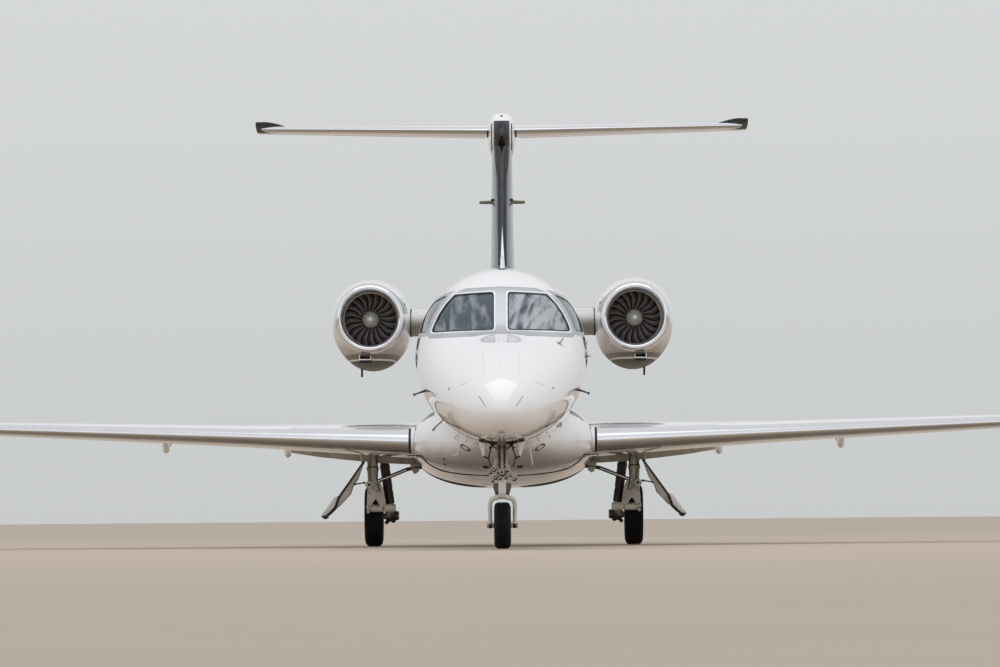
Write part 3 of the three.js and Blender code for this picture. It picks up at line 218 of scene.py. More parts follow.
class Finish:
    """A node-based material under construction."""

    def __init__(self, name):
        self.material = bpy.data.materials.new(name)
        self.material.use_nodes = True
        self.tree = self.material.node_tree
        self.shader = next(n for n in self.tree.nodes if n.type == "BSDF_PRINCIPLED")

    def node(self, kind, settings=None, values=None, output=0):
        made = self.tree.nodes.new("ShaderNode" + kind)
        for key, value in (settings or {}).items():
            if key == "stops":
                elements = made.color_ramp.elements
                while len(elements) < len(value):
                    elements.new(1.0)
                for element, (place, colour) in zip(elements, value):
                    element.position, element.color = place, (*colour, 1.0)
            else:
                setattr(made, key, value)
        pairs = values.items() if isinstance(values, dict) else enumerate(values or ())
        for key, value in pairs:
            self.join(made.inputs[key], value)
        return Signal(self, made.outputs[output])

    def join(self, target, value):
        if isinstance(value, Signal):
            self.tree.links.new(value.socket, target)
        elif target.type == "RGBA" and len(value) == 3:
            target.default_value = (*value, 1.0)
        else:
            target.default_value = value

    def set(self, **sockets):
        for name, value in sockets.items():
            self.join(self.shader.inputs[name.replace("_", " ").title().replace("Ior", "IOR")], value)
        return self.material

    def parts(self, output):
        """A vector of the texture coordinates, and its three numbers."""
        vector = self.node("TexCoord", output=output)
        split = self.node("SeparateXYZ", values=[vector]).socket.node
        return (vector, *(Signal(self, split.outputs[k]) for k in range(3)))

    def place(self):
        """The point on the object, and its three coordinates in metres in the jet's frame."""
        return self.parts("Object")

    def noise(self, point, scale, detail=3.0, stretch=None):
        if stretch:
            point = self.node("VectorMath", {"operation": "MULTIPLY"}, [point, stretch])
        return self.node("TexNoise", values={"Vector": point, "Scale": scale, "Detail": detail})

    def mix(self, share, first, second):
        """A colour between two colours."""
        made = self.tree.nodes.new("ShaderNodeMix")
        made.data_type = "RGBA"
        for key, value in ((0, share), (6, first), (7, second)):
            self.join(made.inputs[key], value)
        return Signal(self, made.outputs[2])

    def bump(self, height, strength, distance):
        return self.node("Bump", values={"Height": height, "Strength": strength, "Distance": distance})


class Sky(Finish):
    """The world's node tree, under construction."""

    def __init__(self, name):
        world = bpy.context.scene.world = bpy.data.worlds.new(name)
        world.use_nodes = True
        self.material, self.tree = world, world.node_tree
        self.shader = next(n for n in self.tree.nodes if n.type == "BACKGROUND")


def varied(finish, point, colour, amount=0.08, scale=3.0, stretch=None):
    """A colour that wanders a little lighter and darker over the surface."""
    darker = tuple(c * (1 - amount) for c in colour)
    lighter = tuple(min(1.0, c * (1 + amount)) for c in colour)
    return finish.mix(finish.noise(point, scale, 4.0, stretch), darker, lighter)


# Panel joints: stations on the fuselage, and half a joint's width in metres
PANEL_STATIONS = (1150, 1950, 3180, 4880, 6400, 8000, 9600, 11230, 12480, 13420)
JOINT_HALF = 0.0016
# Brown of the painted shade and ground reflection under the jet, and the pale soil of its streaks
UNDERSIDE_SHADE, PALE_SOIL = (0.20, 0.165, 0.135), (0.36, 0.33, 0.29)


def skin_paint(f, colour, lines=(), ribs=(), soil_and_shade=1.0):
    """Gloss paint with panel joints at stations (y) and ribs (x), soil streaks low on the jet, and painted
    shade and ground reflection underneath.
    """
    point, x, y, z = f.place()
    side = abs(x)
    marks = [y.near(metres(station), JOINT_HALF) for station in lines]
    marks += [side.near(out / 1000, JOINT_HALF) for out in ribs]
    base = varied(f, point, colour, 0.015, 1.3)
    streaks = f.noise(point, 2.2, 6.0, (3.0, 0.35, 3.0)).rise(0.48, 0.75)
    low = 1.0 - z.rise(0.75, 1.35)
    soil = streaks * low * (0.22 * soil_and_shade)
    # Painted shade and ground reflection: the underside darkens to brown, most under the middle of the jet
    shade = (1.0 - z.rise(0.62, 1.25)) * (1.0 - side.rise(0.35, 0.9) * 0.7)
    base = f.mix(shade * (0.33 * soil_and_shade), base, UNDERSIDE_SHADE)
    base = f.mix(soil, base, PALE_SOIL)
    roughness = f.noise(point, 5.0, 5.0) * 0.07 + 0.07 + soil * 0.5
    if marks:
        joints = marks[0]
        for mark in marks[1:]:
            joints = joints | mark
        base = f.mix(joints * 0.55, base, tuple(c * 0.25 for c in colour))
        f.set(normal=f.bump(1.0 - joints, 0.35, 0.0012))
    return f.set(base_color=base, roughness=roughness, coat_weight=1.0, coat_roughness=0.02,
                 specular_ior_level=0.6)


def cowl_paint(f, colour):
    """Gloss paint with painted reflections of the ground and the grass on its lower side: a brown gradient, a
    dark brown band, a white line, and olive at the bottom.
    """
    point, x, y, z = f.place()
    joints = y.near(metres(9905), 0.002)
    for station in (10780, 11720):
        joints = joints | y.near(metres(station), JOINT_HALF)
    # Painted reflections in bands down the lower cowl: brown ground, a dark brown band, a white line and dark
    # olive grass
    base = f.mix(z.rise(2.10, 2.5), (0.36, 0.31, 0.26), varied(f, point, colour, 0.015, 1.3))
    base = f.mix(z < 2.125, base, (0.13, 0.10, 0.08))
    base = f.mix(z < 2.075, base, (0.80, 0.79, 0.74))
    base = f.mix(z < 2.058, base, f.mix(z.rise(1.93, 2.06), (0.16, 0.16, 0.11), (0.05, 0.055, 0.035)))
    base = f.mix(joints * 0.55, base, (0.2, 0.2, 0.2))
    under = 1.0 - z.rise(2.02, 2.4)
    return f.set(base_color=base, roughness=f.noise(point, 5.0, 5.0) * 0.07 + under * 0.4 + 0.07,
                 coat_weight=1.0 - under, coat_roughness=0.02, specular_ior_level=0.35)


def pylon_paint(f, colour):
    """Gloss paint that turns to a dull brown, a painted reflection of the ground, below the pylon's middle.
    """
    point, x, y, z = f.place()
    upper = z.rise(2.42, 2.62)
    base = f.mix(upper, (0.30, 0.275, 0.225), varied(f, point, tuple(c * 0.8 for c in colour), 0.02, 1.3))
    return f.set(base_color=base, roughness=0.45 - upper * 0.3, specular_ior_level=0.35)


def strip_paint(f, colour):
    """Gloss paint with a metal strip up the leading edge of the fin and the bullet's front, its near-black
    colour a painted reflection of the dark ground.
    """
    point, x, y, z = f.place()
    side = abs(x)
    rise = (FIN[2][1] - FIN[1][1]) / (FIN[2][0] - FIN[1][0])
    lead = y - (z * rise + (metres(FIN[1][1]) - rise * FIN[1][0] / 1000))
    width = z.rise(4.22, 4.6) * 0.042 + 0.044
    ahead = (lead < 0.33) * (z < 4.965) * (z > 3.2)
    strip, border = (side < width) * ahead, side.near(width, 0.007) * ahead
    wedge = side < (3.684 - z) * 0.05
    base = varied(f, point, colour, 0.02, 1.3)
    streaks = f.noise(point, 8.0, 4.0, (6.0, 1.0, 0.5))
    # The strip's near-black metal is a painted reflection of the dark ground
    base = f.mix(strip, base, f.mix(streaks, (0.012, 0.012, 0.014), (0.085, 0.087, 0.095)))
    base = f.mix(wedge, f.mix(border, base, (0.01, 0.01, 0.01)), (0.86, 0.865, 0.87))
    return f.set(base_color=base, metallic=strip * (1.0 - wedge) * 0.8, roughness=streaks * 0.12 + 0.08,
                 coat_weight=0.35 - strip * 0.3, coat_roughness=0.02, specular_ior_level=0.3)


def polished_metal(f, colour, brushed=(1.0, 30.0, 30.0), base_roughness=0.1, grain=0.12, under=0.0):
    """Bare metal, polished along its length, with faint scratches and clouds, and a painted brown reflection
    of the ground on its downward faces.
    """
    point, *_ = f.place()
    scratches = f.noise(point, 14.0, 8.0, brushed)
    clouds = f.noise(point, 2.5, 4.0)
    base = f.mix(clouds, tuple(c * 0.9 for c in colour), colour)
    # Painted reflection of the ground: downward faces turn brown
    if under:
        upward = f.parts("Normal")[3]
        base = f.mix((1.0 - upward.rise(-0.55, -0.02)) * under, base, (0.22, 0.19, 0.16))
    return f.set(base_color=base, metallic=1.0, roughness=scratches * grain + clouds * 0.06 + base_roughness,
                 normal=f.bump(scratches, 0.02, 0.0004))


def cast_metal(f, colour, metallic, roughness, soil, scale=18.0):
    """Painted or bare metal of the gear: mottled, with dark soil in its hollows."""
    point, *_ = f.place()
    mottle = f.noise(point, scale, 6.0)
    patches = f.noise(point, 6.0, 5.0).rise(0.45, 0.7)
    base = f.mix(patches * soil, varied(f, point, colour, 0.12, scale), tuple(c * 0.3 for c in colour))
    return f.set(base_color=base, metallic=metallic, roughness=mottle * 0.2 + roughness,
                 normal=f.bump(mottle, 0.15, 0.002))


def blade_metal(f, colour):
    """Fan titanium, with a painted highlight along its front edge and painted shadow, near black, where it
    turns back into the duct.
    """
    point, x, y, z = f.place()
    grain = f.noise(point, 30.0, 4.0)
    # Painted shadow on the blades' rear, and a painted highlight on their front edges
    back = y.rise(metres(FAN["front"] + 16), metres(FAN["front"] + 95))
    edge = 1.0 - y.rise(metres(FAN["front"] + 4), metres(FAN["front"] + 26))
    base = f.mix(back, f.mix(edge, colour, tuple(c * 4 for c in colour)), (0.004, 0.004, 0.004))
    return f.set(base_color=base, metallic=0.5, roughness=grain * 0.15 + 0.35)


def rubber_finish(f, colour):
    """Dull rubber, dusty on its shoulders."""
    point, *_ = f.place()
    dust = f.noise(point, 9.0, 6.0).rise(0.42, 0.8)
    grain = f.noise(point, 260.0, 3.0)
    base = f.mix(dust * 0.08, colour, (0.12, 0.105, 0.09))
    return f.set(base_color=base, roughness=grain * 0.15 + 0.7, specular_ior_level=0.2,
                 normal=f.bump(grain, 0.25, 0.0008))


def tinted_glass(f, colour, alpha, streaks=0.1, lean=8, cover=(0.46, 0.74)):
    """Window glass: dark, clear and sharp, with leaning streaks of a pale film."""
    point, *_ = f.place()
    leaning = f.node("Mapping", values={"Vector": point, "Rotation": (0, math.radians(lean), 0)})
    film = f.noise(leaning, 2.6, 5.0, (5.0, 1.0, 0.7)).rise(*cover)
    base = f.mix(film * streaks, colour, (0.42, 0.45, 0.48))
    return f.set(base_color=base, roughness=film * 0.04 + 0.01, alpha=alpha, ior=1.5, specular_ior_level=0.35)


def cloth_finish(f, colour, scale, depth, roughness=0.9):
    """Looped or woven cloth."""
    point, *_ = f.place()
    tufts = f.node("TexVoronoi", values={"Vector": point, "Scale": scale})
    base = f.mix(f.noise(point, scale * 0.4, 4.0), tuple(c * 0.75 for c in colour), colour)
    return f.set(base_color=base, roughness=roughness, normal=f.bump(tufts, 0.5, depth))


def leather_finish(f, colour):
    """Soft leather with a fine grain and lighter wear."""
    point, *_ = f.place()
    grain = f.node("TexVoronoi", values={"Vector": point, "Scale": 420.0})
    wear = f.noise(point, 7.0, 5.0).rise(0.5, 0.8)
    base = f.mix(wear * 0.3, varied(f, point, colour, 0.06, 5.0), tuple(min(1, c * 1.25) for c in colour))
    return f.set(base_color=base, roughness=grain * 0.12 + 0.42, normal=f.bump(grain, 0.25, 0.0006))


def plain_plastic(f, colour, roughness=0.45):
    """Moulded plastic or satin paint with a fine texture."""
    point, *_ = f.place()
    grain = f.noise(point, 240.0, 2.0)
    return f.set(base_color=varied(f, point, colour, 0.08, 8.0), roughness=grain * 0.12 + roughness,
                 normal=f.bump(grain, 0.12, 0.0005))


def finish_groups():
    """What makes each finish, by the material slot it stands for: a function, a colour and settings."""
    c = colours()
    return {
        "white_paint": {
            "fuselage_paint": (skin_paint, c.paint, PANEL_STATIONS),
            "belly_paint": (skin_paint, c.paint, (9300, 10150), (), 2.5),
            "wing_paint": (skin_paint, c.paint, (), (1700, 2600, 3500, 4400, 5300, 6200, 7100), 0.5),
            "tail_paint": (skin_paint, c.paint, (), (600, 1400, 2200), 0),
            "plain_paint": (skin_paint, c.paint),
            "duct_grey": (skin_paint, (0.55, 0.56, 0.57), (), (), 0),
            "fin_paint": (strip_paint, c.fin),
            "bullet_paint": (strip_paint, c.paint),
            "nacelle_paint": (cowl_paint, c.paint),
            "pylon_paint": (pylon_paint, c.paint),
            "olive": (plain_plastic, (0.13, 0.12, 0.085), 0.4),
            "piston": (plain_plastic, (0.80, 0.79, 0.81), 0.2),
            "fork_paint": (cast_metal, (0.74, 0.73, 0.66), 0.05, 0.35, 0.25),
            "wheel_paint": (cast_metal, (0.62, 0.61, 0.58), 0.1, 0.32, 0.35, 12.0),
            "bay_primer": (cast_metal, (0.17, 0.165, 0.15), 0.0, 0.55, 0.25, 9.0),
        },
        "polished_metal": {
            "polished_edge": (polished_metal, c.metal, (0.5, 4.0, 4.0), 0.1, 0.08, 0.55),
            "polished_lip": (polished_metal, c.metal, (6.0, 1.0, 6.0), 0.05, 0.08),
            "window_frame": (polished_metal, c.frames, (2.0, 2.0, 40.0), 0.24, 0.2),
        },
        "window_glass": {
            "windscreen_glass": (tinted_glass, c.glass, 0.86, 0.6),
            "port_windscreen_glass": (tinted_glass, c.glass, 0.9, 1.0, -22, (0.36, 0.62)),
            "cabin_glass": (tinted_glass, (0.02, 0.022, 0.026), 0.72),
            "lens_red": (tinted_glass, (0.45, 0.01, 0.01), 1.0),
            "lens_clear": (tinted_glass, (0.6, 0.62, 0.64), 0.7),
        },
        "fan_metal": {
            "fan_titanium": (blade_metal, c.fan),
            "spinner_metal": (cast_metal, (0.80, 0.77, 0.72), 0.1, 0.4, 0.1),
        },
        "engine_metal": {
            "engine_dark": (cast_metal, (0.055, 0.052, 0.05), 0.6, 0.45, 0.4),
            "hot_metal": (cast_metal, (0.30, 0.26, 0.22), 0.9, 0.35, 0.5),
        },
        "gear_paint": {
            "gear_casting": (cast_metal, c.gear, 0.1, 0.35, 0.45),
            "dark_steel": (cast_metal, (0.10, 0.09, 0.08), 0.8, 0.4, 0.3),
        },
        "wheel_metal": {
            "bare_steel": (cast_metal, (0.45, 0.44, 0.42), 0.95, 0.25, 0.35),
            "chrome": (polished_metal, (0.85, 0.86, 0.88), (20.0, 20.0, 1.0), 0.04, 0.05),
        },
        "tyre_rubber": {"tyre": (rubber_finish, c.rubber)},
        "black_plastic": {
            "hose": (plain_plastic, (0.015, 0.015, 0.016), 0.5),
            "seal": (plain_plastic, (0.012, 0.012, 0.013), 0.6),
            "cabin_trim": (plain_plastic, (0.62, 0.58, 0.52), 0.55),
            "panel_black": (plain_plastic, (0.03, 0.03, 0.033), 0.55),
            "screen": (tinted_glass, (0.012, 0.014, 0.018), 1.0),
        },
        "black_paint": {"black_boot": (plain_plastic, (0.006, 0.006, 0.006), 0.5)},
        "seat_leather": {
            "leather": (leather_finish, c.leather),
            "crew_leather": (leather_finish, (0.16, 0.16, 0.17)),
        },
        "carpet": {"carpet": (cloth_finish, c.carpet, 700.0, 0.002)},
    }


FINISHES = {}


def finish_of(name):
    """A material by its name, made on first use."""
    if name not in FINISHES:
        maker, *values = next(group[name] for group in finish_groups().values() if name in group)
        FINISHES[name] = maker(Finish(name), *values)
    return FINISHES[name]


def slot_of(finish):
    """The material slot that a finish stands for."""
    return next((slot for slot, group in finish_groups().items() if finish in group), "white_paint")


# Points, sections and meshes


def metres(station):
    return (station - MID_LENGTH) / 1000


def linked(mesh):
    """A new object of the scene that shows a mesh."""
    obj = bpy.data.objects.new("form", mesh)
    bpy.context.scene.collection.objects.link(obj)
    return obj


def duplicate(obj):
    return linked(obj.data.copy())


def scrap(obj):
    mesh = obj.data
    bpy.data.objects.remove(obj)
    if not mesh.users:
        bpy.data.meshes.remove(mesh)


def mesh_object(points, faces):
    """An object from points in millimetres, aft of the nose tip."""
    p = np.asarray(points, float)
    placed = np.column_stack([p[:, 0], p[:, 1] - MID_LENGTH, p[:, 2]]) / 1000
    mesh = bpy.data.meshes.new("form")
    mesh.from_pydata(placed.tolist(), [], [list(map(int, f)) for f in faces])
    mesh.validate()
    b = bmesh.new()
    b.from_mesh(mesh)
    bmesh.ops.remove_doubles(b, verts=b.verts, dist=1e-6)
    bmesh.ops.recalc_face_normals(b, faces=b.faces)
    b.to_mesh(mesh)
    b.free()
    return linked(mesh)


def loft(rings, closed=False):
    """A closed skin through rings of points, capped at both ends or joined end to end."""
    rings = np.asarray(rings, float)
    m, n = rings.shape[:2]
    j = np.arange(n)
    faces = []
    for i in range(m if closed else m - 1):
        k = (i + 1) % m
        faces += np.column_stack([i * n + j, i * n + (j + 1) % n, k * n + (j + 1) % n, k * n + j]).tolist()
    if not closed:
        faces += [list(range(n))[::-1], list(range((m - 1) * n, m * n))]
    return mesh_object(rings.reshape(-1, 3), faces)


AXES = {"xy": (0, 1, 2), "xz": (0, 2, 1), "yz": (1, 2, 0)}


def prism(outline, plane, start, end):
    rings = np.zeros((2, len(outline), 3))
    for ring, depth in zip(rings, (start, end)):
        u, v, w = AXES[plane]
        ring[:, u], ring[:, v], ring[:, w] = [p[0] for p in outline], [p[1] for p in outline], depth
    return loft(rings)


def block(x, y, z):
    return prism(((x[0], y[0]), (x[1], y[0]), (x[1], y[1]), (x[0], y[1])), "xy", *z)


def sweep(path, radii, sides=16):
    """A round tube along a path, with one radius for all of it or one at each point."""
    path = np.asarray(path, float)
    radii = np.broadcast_to(np.asarray(radii, float), (len(path),))
    steps = np.diff(path, axis=0)
    steps /= np.linalg.norm(steps, axis=1)[:, None]
    ways = np.vstack([steps[:1], steps[:-1] + steps[1:], steps[-1:]]) if len(path) > 2 else steps[[0, 0]]
    ways /= np.linalg.norm(ways, axis=1)[:, None]
    side = np.cross(ways[0], (0, 1, 0) if abs(ways[0][1]) < 0.8 else (0, 0, 1))
    angles = np.arange(sides) * 2 * math.pi / sides
    rings = []
    for at, way, radius in zip(path, ways, radii):
        side = side - way * (side @ way)
        side /= np.linalg.norm(side)
        up = np.cross(way, side)
        rings.append(at + radius * (np.outer(np.cos(angles), side) + np.outer(np.sin(angles), up)))
    return loft(rings)


def rod(a, b, radius, end=None, sides=20):
    return sweep([a, b], [radius, radius if end is None else end], sides)


def arc_path(points, steps=8):
    """A smooth path through points."""
    p = np.asarray(points, float)
    padded = np.vstack([2 * p[0] - p[1], p, 2 * p[-1] - p[-2]])
    out = []
    for i in range(1, len(p)):
        a, b, c, d = padded[i - 1:i + 3]
        for t in np.arange(steps) / steps:
            out.append(0.5 * (2 * b + (c - a) * t + (2 * a - 5 * b + 4 * c - d) * t**2
                              + (3 * b - a - 3 * c + d) * t**3))
    return np.vstack([out, p[-1:]])


def lathe(profile, axis, centre, sides=64):
    """A turned piece about an axis along x, y or z: a profile of (radius, place along the axis)."""
    r, along = np.asarray(profile, float).T
    angles = np.arange(sides) * 2 * math.pi / sides
    across = {"x": (1, 2, 0), "y": (0, 2, 1), "z": (0, 1, 2)}[axis]
    rings = np.zeros((sides, len(r), 3))
    for ring, a in zip(rings, angles):
        ring[:, across[0]], ring[:, across[1]], ring[:, across[2]] = r * math.cos(a), r * math.sin(a), along
    return loft(rings + np.asarray(centre, float), closed=True)


def applied(obj):
    """Turns an object's modifiers into its mesh."""
    shown = obj.evaluated_get(bpy.context.evaluated_depsgraph_get())
    mesh = bpy.data.meshes.new_from_object(shown)
    obj.modifiers.clear()
    old, obj.data = obj.data, mesh
    bpy.data.meshes.remove(old)
    return obj


def filled(mesh):
    """Faces that a cut left without a finish take the mesh's first one."""
    kept = [m for m in mesh.materials if m]
    if kept and not mesh.materials[0]:
        return
    slots = [kept.index(m) if m else 0 for m in mesh.materials] or [0]
    index = [slots[polygon.material_index] for polygon in mesh.polygons]
    mesh.materials.clear()
    for material in kept:
        mesh.materials.append(material)
    mesh.polygons.foreach_set("material_index", index)


def carve(target, *steps):
    """Cuts forms out, or keeps what is in a form or joins it where that word stands before it."""
    steps = [step if isinstance(step, tuple) else ("cut", step) for step in steps]
    for operation, form in steps:
        cut = target.modifiers.new("cut", "BOOLEAN")
        cut.operation = {"cut": "DIFFERENCE", "in": "INTERSECT", "join": "UNION"}[operation]
        cut.object, cut.solver, cut.material_mode = form, "EXACT", "TRANSFER"
    filled(applied(target).data)
    for _, form in steps:
        scrap(form)
    return target


def gather(forms):
    """One object from several, each a closed form of its own."""
    b = bmesh.new()
    materials = []
    for form in forms:
        form.data.transform(form.matrix_world)
        own = [m for m in form.data.materials] or [None]
        start = len(b.faces)
        b.from_mesh(form.data)
        b.faces.ensure_lookup_table()
        for face in b.faces[start:]:
            material = own[min(face.material_index, len(own) - 1)]
            if material not in materials:
                materials.append(material)
            face.material_index = materials.index(material)
    mesh = bpy.data.meshes.new("form")
    b.to_mesh(mesh)
    b.free()
    for material in materials:
        if material is not None:
            mesh.materials.append(material)
    for form in forms:
        scrap(form)
    return linked(mesh)


def clad(obj, finish):
    """Gives an object a finish, for all faces that have none of their own."""
    obj.data.materials.append(finish_of(finish))
    return obj


class Forms(list):
    """The closed forms that make up a piece."""

    def add(self, finish, *forms):
        self.extend([clad(form, finish) for form in forms])
        return self


def mirrored(obj):
    """The starboard twin of a port piece."""
    twin = duplicate(obj)
    twin.data.transform(Matrix.Diagonal((-1, 1, 1, 1)))
    twin.data.flip_normals()
    return twin


def soften(obj, width=1.5, segments=2, angle=35):
    """Rounds the sharp edges of an object by a width in millimetres."""
    bevel = obj.modifiers.new("edges", "BEVEL")
    bevel.width, bevel.segments, bevel.limit_method = width / 1000, segments, "ANGLE"
    bevel.angle_limit = math.radians(angle)
    return applied(obj)


def finished(forms, name, finish=None, replaces=None, body="airframe", angle=32):
    """Joins and names a piece, shades it, and hands it to its body."""
    obj = gather(forms) if isinstance(forms, list) else forms
    obj.name = obj.data.name = name
    if finish:
        obj.data.materials.clear()
        clad(obj, finish)
    b = bmesh.new()
    b.from_mesh(obj.data)
    bmesh.ops.dissolve_degenerate(b, dist=1e-6, edges=b.edges)
    b.to_mesh(obj.data)
    b.free()
    for polygon in obj.data.polygons:
        polygon.use_smooth = True
    obj.data.set_sharp_from_angle(angle=math.radians(angle))
    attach(obj, body)
    slot_of(obj.data.materials[0].name if obj.data.materials else "")
    if replaces:
        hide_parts(replaces)
    return obj


def both_sides(forms, name, finish=None, replaces="", body="airframe"):
    """Finishes a port piece and its starboard twin. A body or node name with * stands for the side."""
    obj = gather(forms) if isinstance(forms, list) else forms
    for piece, side in ((obj, "port"), (mirrored(obj), "starboard")):
        finished(piece, f"{name}_{side}", finish, replaces.replace("*", side), body.replace("*", side))


# Sections


def smooth_columns(table, places, warp=lambda v: v):
    """The columns of a table at places, along a curve that never overshoots its rows."""
    t = np.array([warp(row[0]) for row in table], float)
    v = np.array([row[1:] for row in table], float)
    h, d = np.diff(t)[:, None], np.diff(v, axis=0) / np.diff(t)[:, None]
    slope = np.zeros_like(v)
    same = d[:-1] * d[1:] > 0
    w1, w2 = 2 * h[1:] + h[:-1], h[1:] + 2 * h[:-1]
    with np.errstate(divide="ignore", invalid="ignore"):
        inner = (w1 + w2) / (w1 / d[:-1] + w2 / d[1:])
    slope[1:-1] = np.where(same, inner, 0)
    slope[0], slope[-1] = d[0], d[-1]
    out = []
    for place in places:
        s = warp(place)
        i = int(np.clip(np.searchsorted(t, s) - 1, 0, len(t) - 2))
        u = (s - t[i]) / h[i, 0]
        out.append((1 + 2 * u) * (1 - u) ** 2 * v[i] + u * (1 - u) ** 2 * h[i] * slope[i]
                   + u * u * (3 - 2 * u) * v[i + 1] + u * u * (u - 1) * h[i] * slope[i + 1])
    return np.array(out)


def row_at(table, place):
    """The row of a table at a place, along straight lines."""
    columns = np.array(table, float).T
    return [float(np.interp(place, columns[0], column)) for column in columns]


def super_ring(x, y, half, bottom, widest, top, sides, upper=2.0, lower=2.0):
    a = np.arange(sides) * 2 * math.pi / sides
    s, c = np.sin(a), np.cos(a)
    power = np.where(c > 0, 2 / upper, 2 / lower)
    height = np.where(c > 0, top - widest, widest - bottom)
    return np.column_stack([
        x + half * np.sign(s) * np.abs(s) ** power,
        np.full(sides, float(y)),
        widest + height * np.sign(c) * np.abs(c) ** power])


def root(v):
    return math.sqrt(max(v, 0) + 4)


def fuselage(start, end, inset=0.0, sides=None, step=None):
    """The fuselage's form between two stations, drawn in from the skin by inset."""
    sides, step = sides or sizes().sides, step or sizes().step
    count = max(2, round((end - start) / step) + 1)
    places = np.linspace(start, end, count)
    if start < 400:
        near_tip = start + (700 - start) * np.linspace(0, 1, 16) ** 2
        places = np.concatenate([near_tip, places[places > 720]])
    rings = []
    for place, (top, widest, bottom, half, square) in zip(places, smooth_columns(FUSELAGE, places, root)):
        ring = super_ring(0, place, half - inset, bottom + inset, widest, top - inset, sides, square)
        rings.append(ring)
    if start == 0 and inset == 0:
        tip = np.array([0, 0, 1300.0])
        rings.insert(0, tip + (rings[0] - tip) * 0.45)
    return loft(rings)


def belly_form(grow=0.0):
    places = np.linspace(5200, 11200, 61)
    return loft([
        super_ring(0, s, half + grow, bottom - grow, widest, top + grow, 72, 2.0, 2.5)
        for s, (half, bottom, widest, top) in zip(places, smooth_columns(BELLY, places))])


def thickness_at(c):
    return 5 * (0.2969 * math.sqrt(c) - 0.126 * c - 0.3516 * c * c + 0.2843 * c**3 - 0.1036 * c**4)


def airfoil(leading, chord, ratio, up, camber=0.0, incidence=0.0, grow=0.0, points=64):
    half = points // 2
    fall = math.tan(math.radians(incidence))
    ring = []
    for j in range(points):
        c = (1 - math.cos(math.pi * (j if j <= half else points - j) / half)) / 2
        side = 1 if j < half else -1
        edge = 0 if c in (0, 1) else side * (chord * ratio * max(thickness_at(c), 0) + grow)
        lift = edge + chord * (4 * camber * c * (1 - c) - c * fall)
        ring.append((leading[0] + up[0] * lift, leading[1] + c * (chord + 2 * grow) - grow,
                     leading[2] + up[2] * lift))
    return ring


def wing_form(grow=0.0):
    """The wing from root to winglet tip."""
    table = np.array(WING, float)
    travel = np.concatenate([[0], np.cumsum(np.hypot(*np.diff(table[:, [0, 2]], axis=0).T))])
    places = np.concatenate([
        np.linspace(0, travel[1], 4)[:-1], np.linspace(travel[1], travel[2], 8)[:-1],
        np.linspace(travel[2], travel[3], 16)[:-1], np.linspace(travel[3], travel[-1], 22)])
    rows = smooth_columns(np.column_stack([travel, table]).tolist(), places)
    linear = np.column_stack([np.interp(places, travel, column) for column in table.T])
    rows[places < travel[3]] = linear[places < travel[3]]
    rings = []
    for x, station, z, chord, ratio, cant in rows:
        a = math.radians(cant)
        flat = 1 - min(1, cant / 22)
        rings.append(airfoil((x, station, z), chord, ratio, (-math.sin(a), 0, math.cos(a)),
                             WING_CAMBER * flat, WING_INCIDENCE * flat, grow))
    return loft(rings)


def wing_point(x, share):
    _, station, z, chord, ratio, _ = row_at(WING, x)
    lift = chord * (4 * WING_CAMBER * share * (1 - share) - share * math.tan(math.radians(WING_INCIDENCE)))
    return np.array([x, station + share * chord, z + lift]), chord * ratio * thickness_at(share)


def tail_point(x, share):
    _, station, z, chord, ratio = row_at(TAILPLANE, x)
    rise = share * chord * math.tan(math.radians(-TAIL_TRIM))
    return np.array([x, station + share * chord, z + rise]), chord * ratio * thickness_at(share)


def fin_point(z, share):
    _, station, chord, thickness = row_at(FIN, z)
    return np.array([0, station + share * chord, z]), thickness * thickness_at(share)


# Outlines


def clipped(u0, u1, v0, v1, corner, low=None, steps=6):
    """A rectangle with rounded corners, of one radius above and one below."""
    low = corner if low is None else low
    out = []
    for cu, cv, r, start in ((u1 - corner, v1 - corner, corner, 0), (u0 + corner, v1 - corner, corner, 1),
                             (u0 + low, v0 + low, low, 2), (u1 - low, v0 + low, low, 3)):
        for k in range(steps + 1):
            a = math.pi / 2 * (start + k / steps)
            out.append((cu + r * math.cos(a), cv + r * math.sin(a)))
    return out


def grown(outline, by):
    """An outline moved out from its own line by a distance, or in where it is negative."""
    p = np.asarray(outline, float)
    before, after = p - np.roll(p, 1, 0), np.roll(p, -1, 0) - p
    area = np.sum(p[:, 0] * np.roll(p[:, 1], -1) - np.roll(p[:, 0], -1) * p[:, 1])
    turn = 1 if area > 0 else -1
    unit = lambda v: v / np.linalg.norm(v, axis=1)[:, None]
    n1, n2 = (np.column_stack([v[:, 1], -v[:, 0]]) * turn for v in (unit(before), unit(after)))
    way = unit(n1 + n2)
    return (p + way * (by / np.maximum(0.5, np.sum(way * n1, axis=1)))[:, None]).tolist()


def rounded(outline, radius, steps=5):
    """An outline with its corners turned into arcs."""
    p = np.asarray(outline, float)
    out = []
    for i, corner in enumerate(p):
        a, b = p[i - 1] - corner, p[(i + 1) % len(p)] - corner
        la, lb = np.linalg.norm(a), np.linalg.norm(b)
        half = math.acos(np.clip(a @ b / la / lb, -1, 1)) / 2
        cut = min(radius / math.tan(half), 0.45 * la, 0.45 * lb)
        start, end = corner + a / la * cut, corner + b / lb * cut
        for t in np.linspace(0, 1, steps + 1):
            out.append(((1 - t) ** 2 * start + 2 * t * (1 - t) * corner + t * t * end).tolist())
    return out


def flipped(outline):
    return [(-u, v) for u, v in outline]


def door_outline(door, by):
    return clipped(door["front"] + by, door["back"] - by, door["bottom"] + by, door["top"] - by,
                   door["corner"], door["low"])


def through_side(outline, side, reach=(300, 1000)):
    return prism(outline, "yz", *sorted(side * out for out in reach))


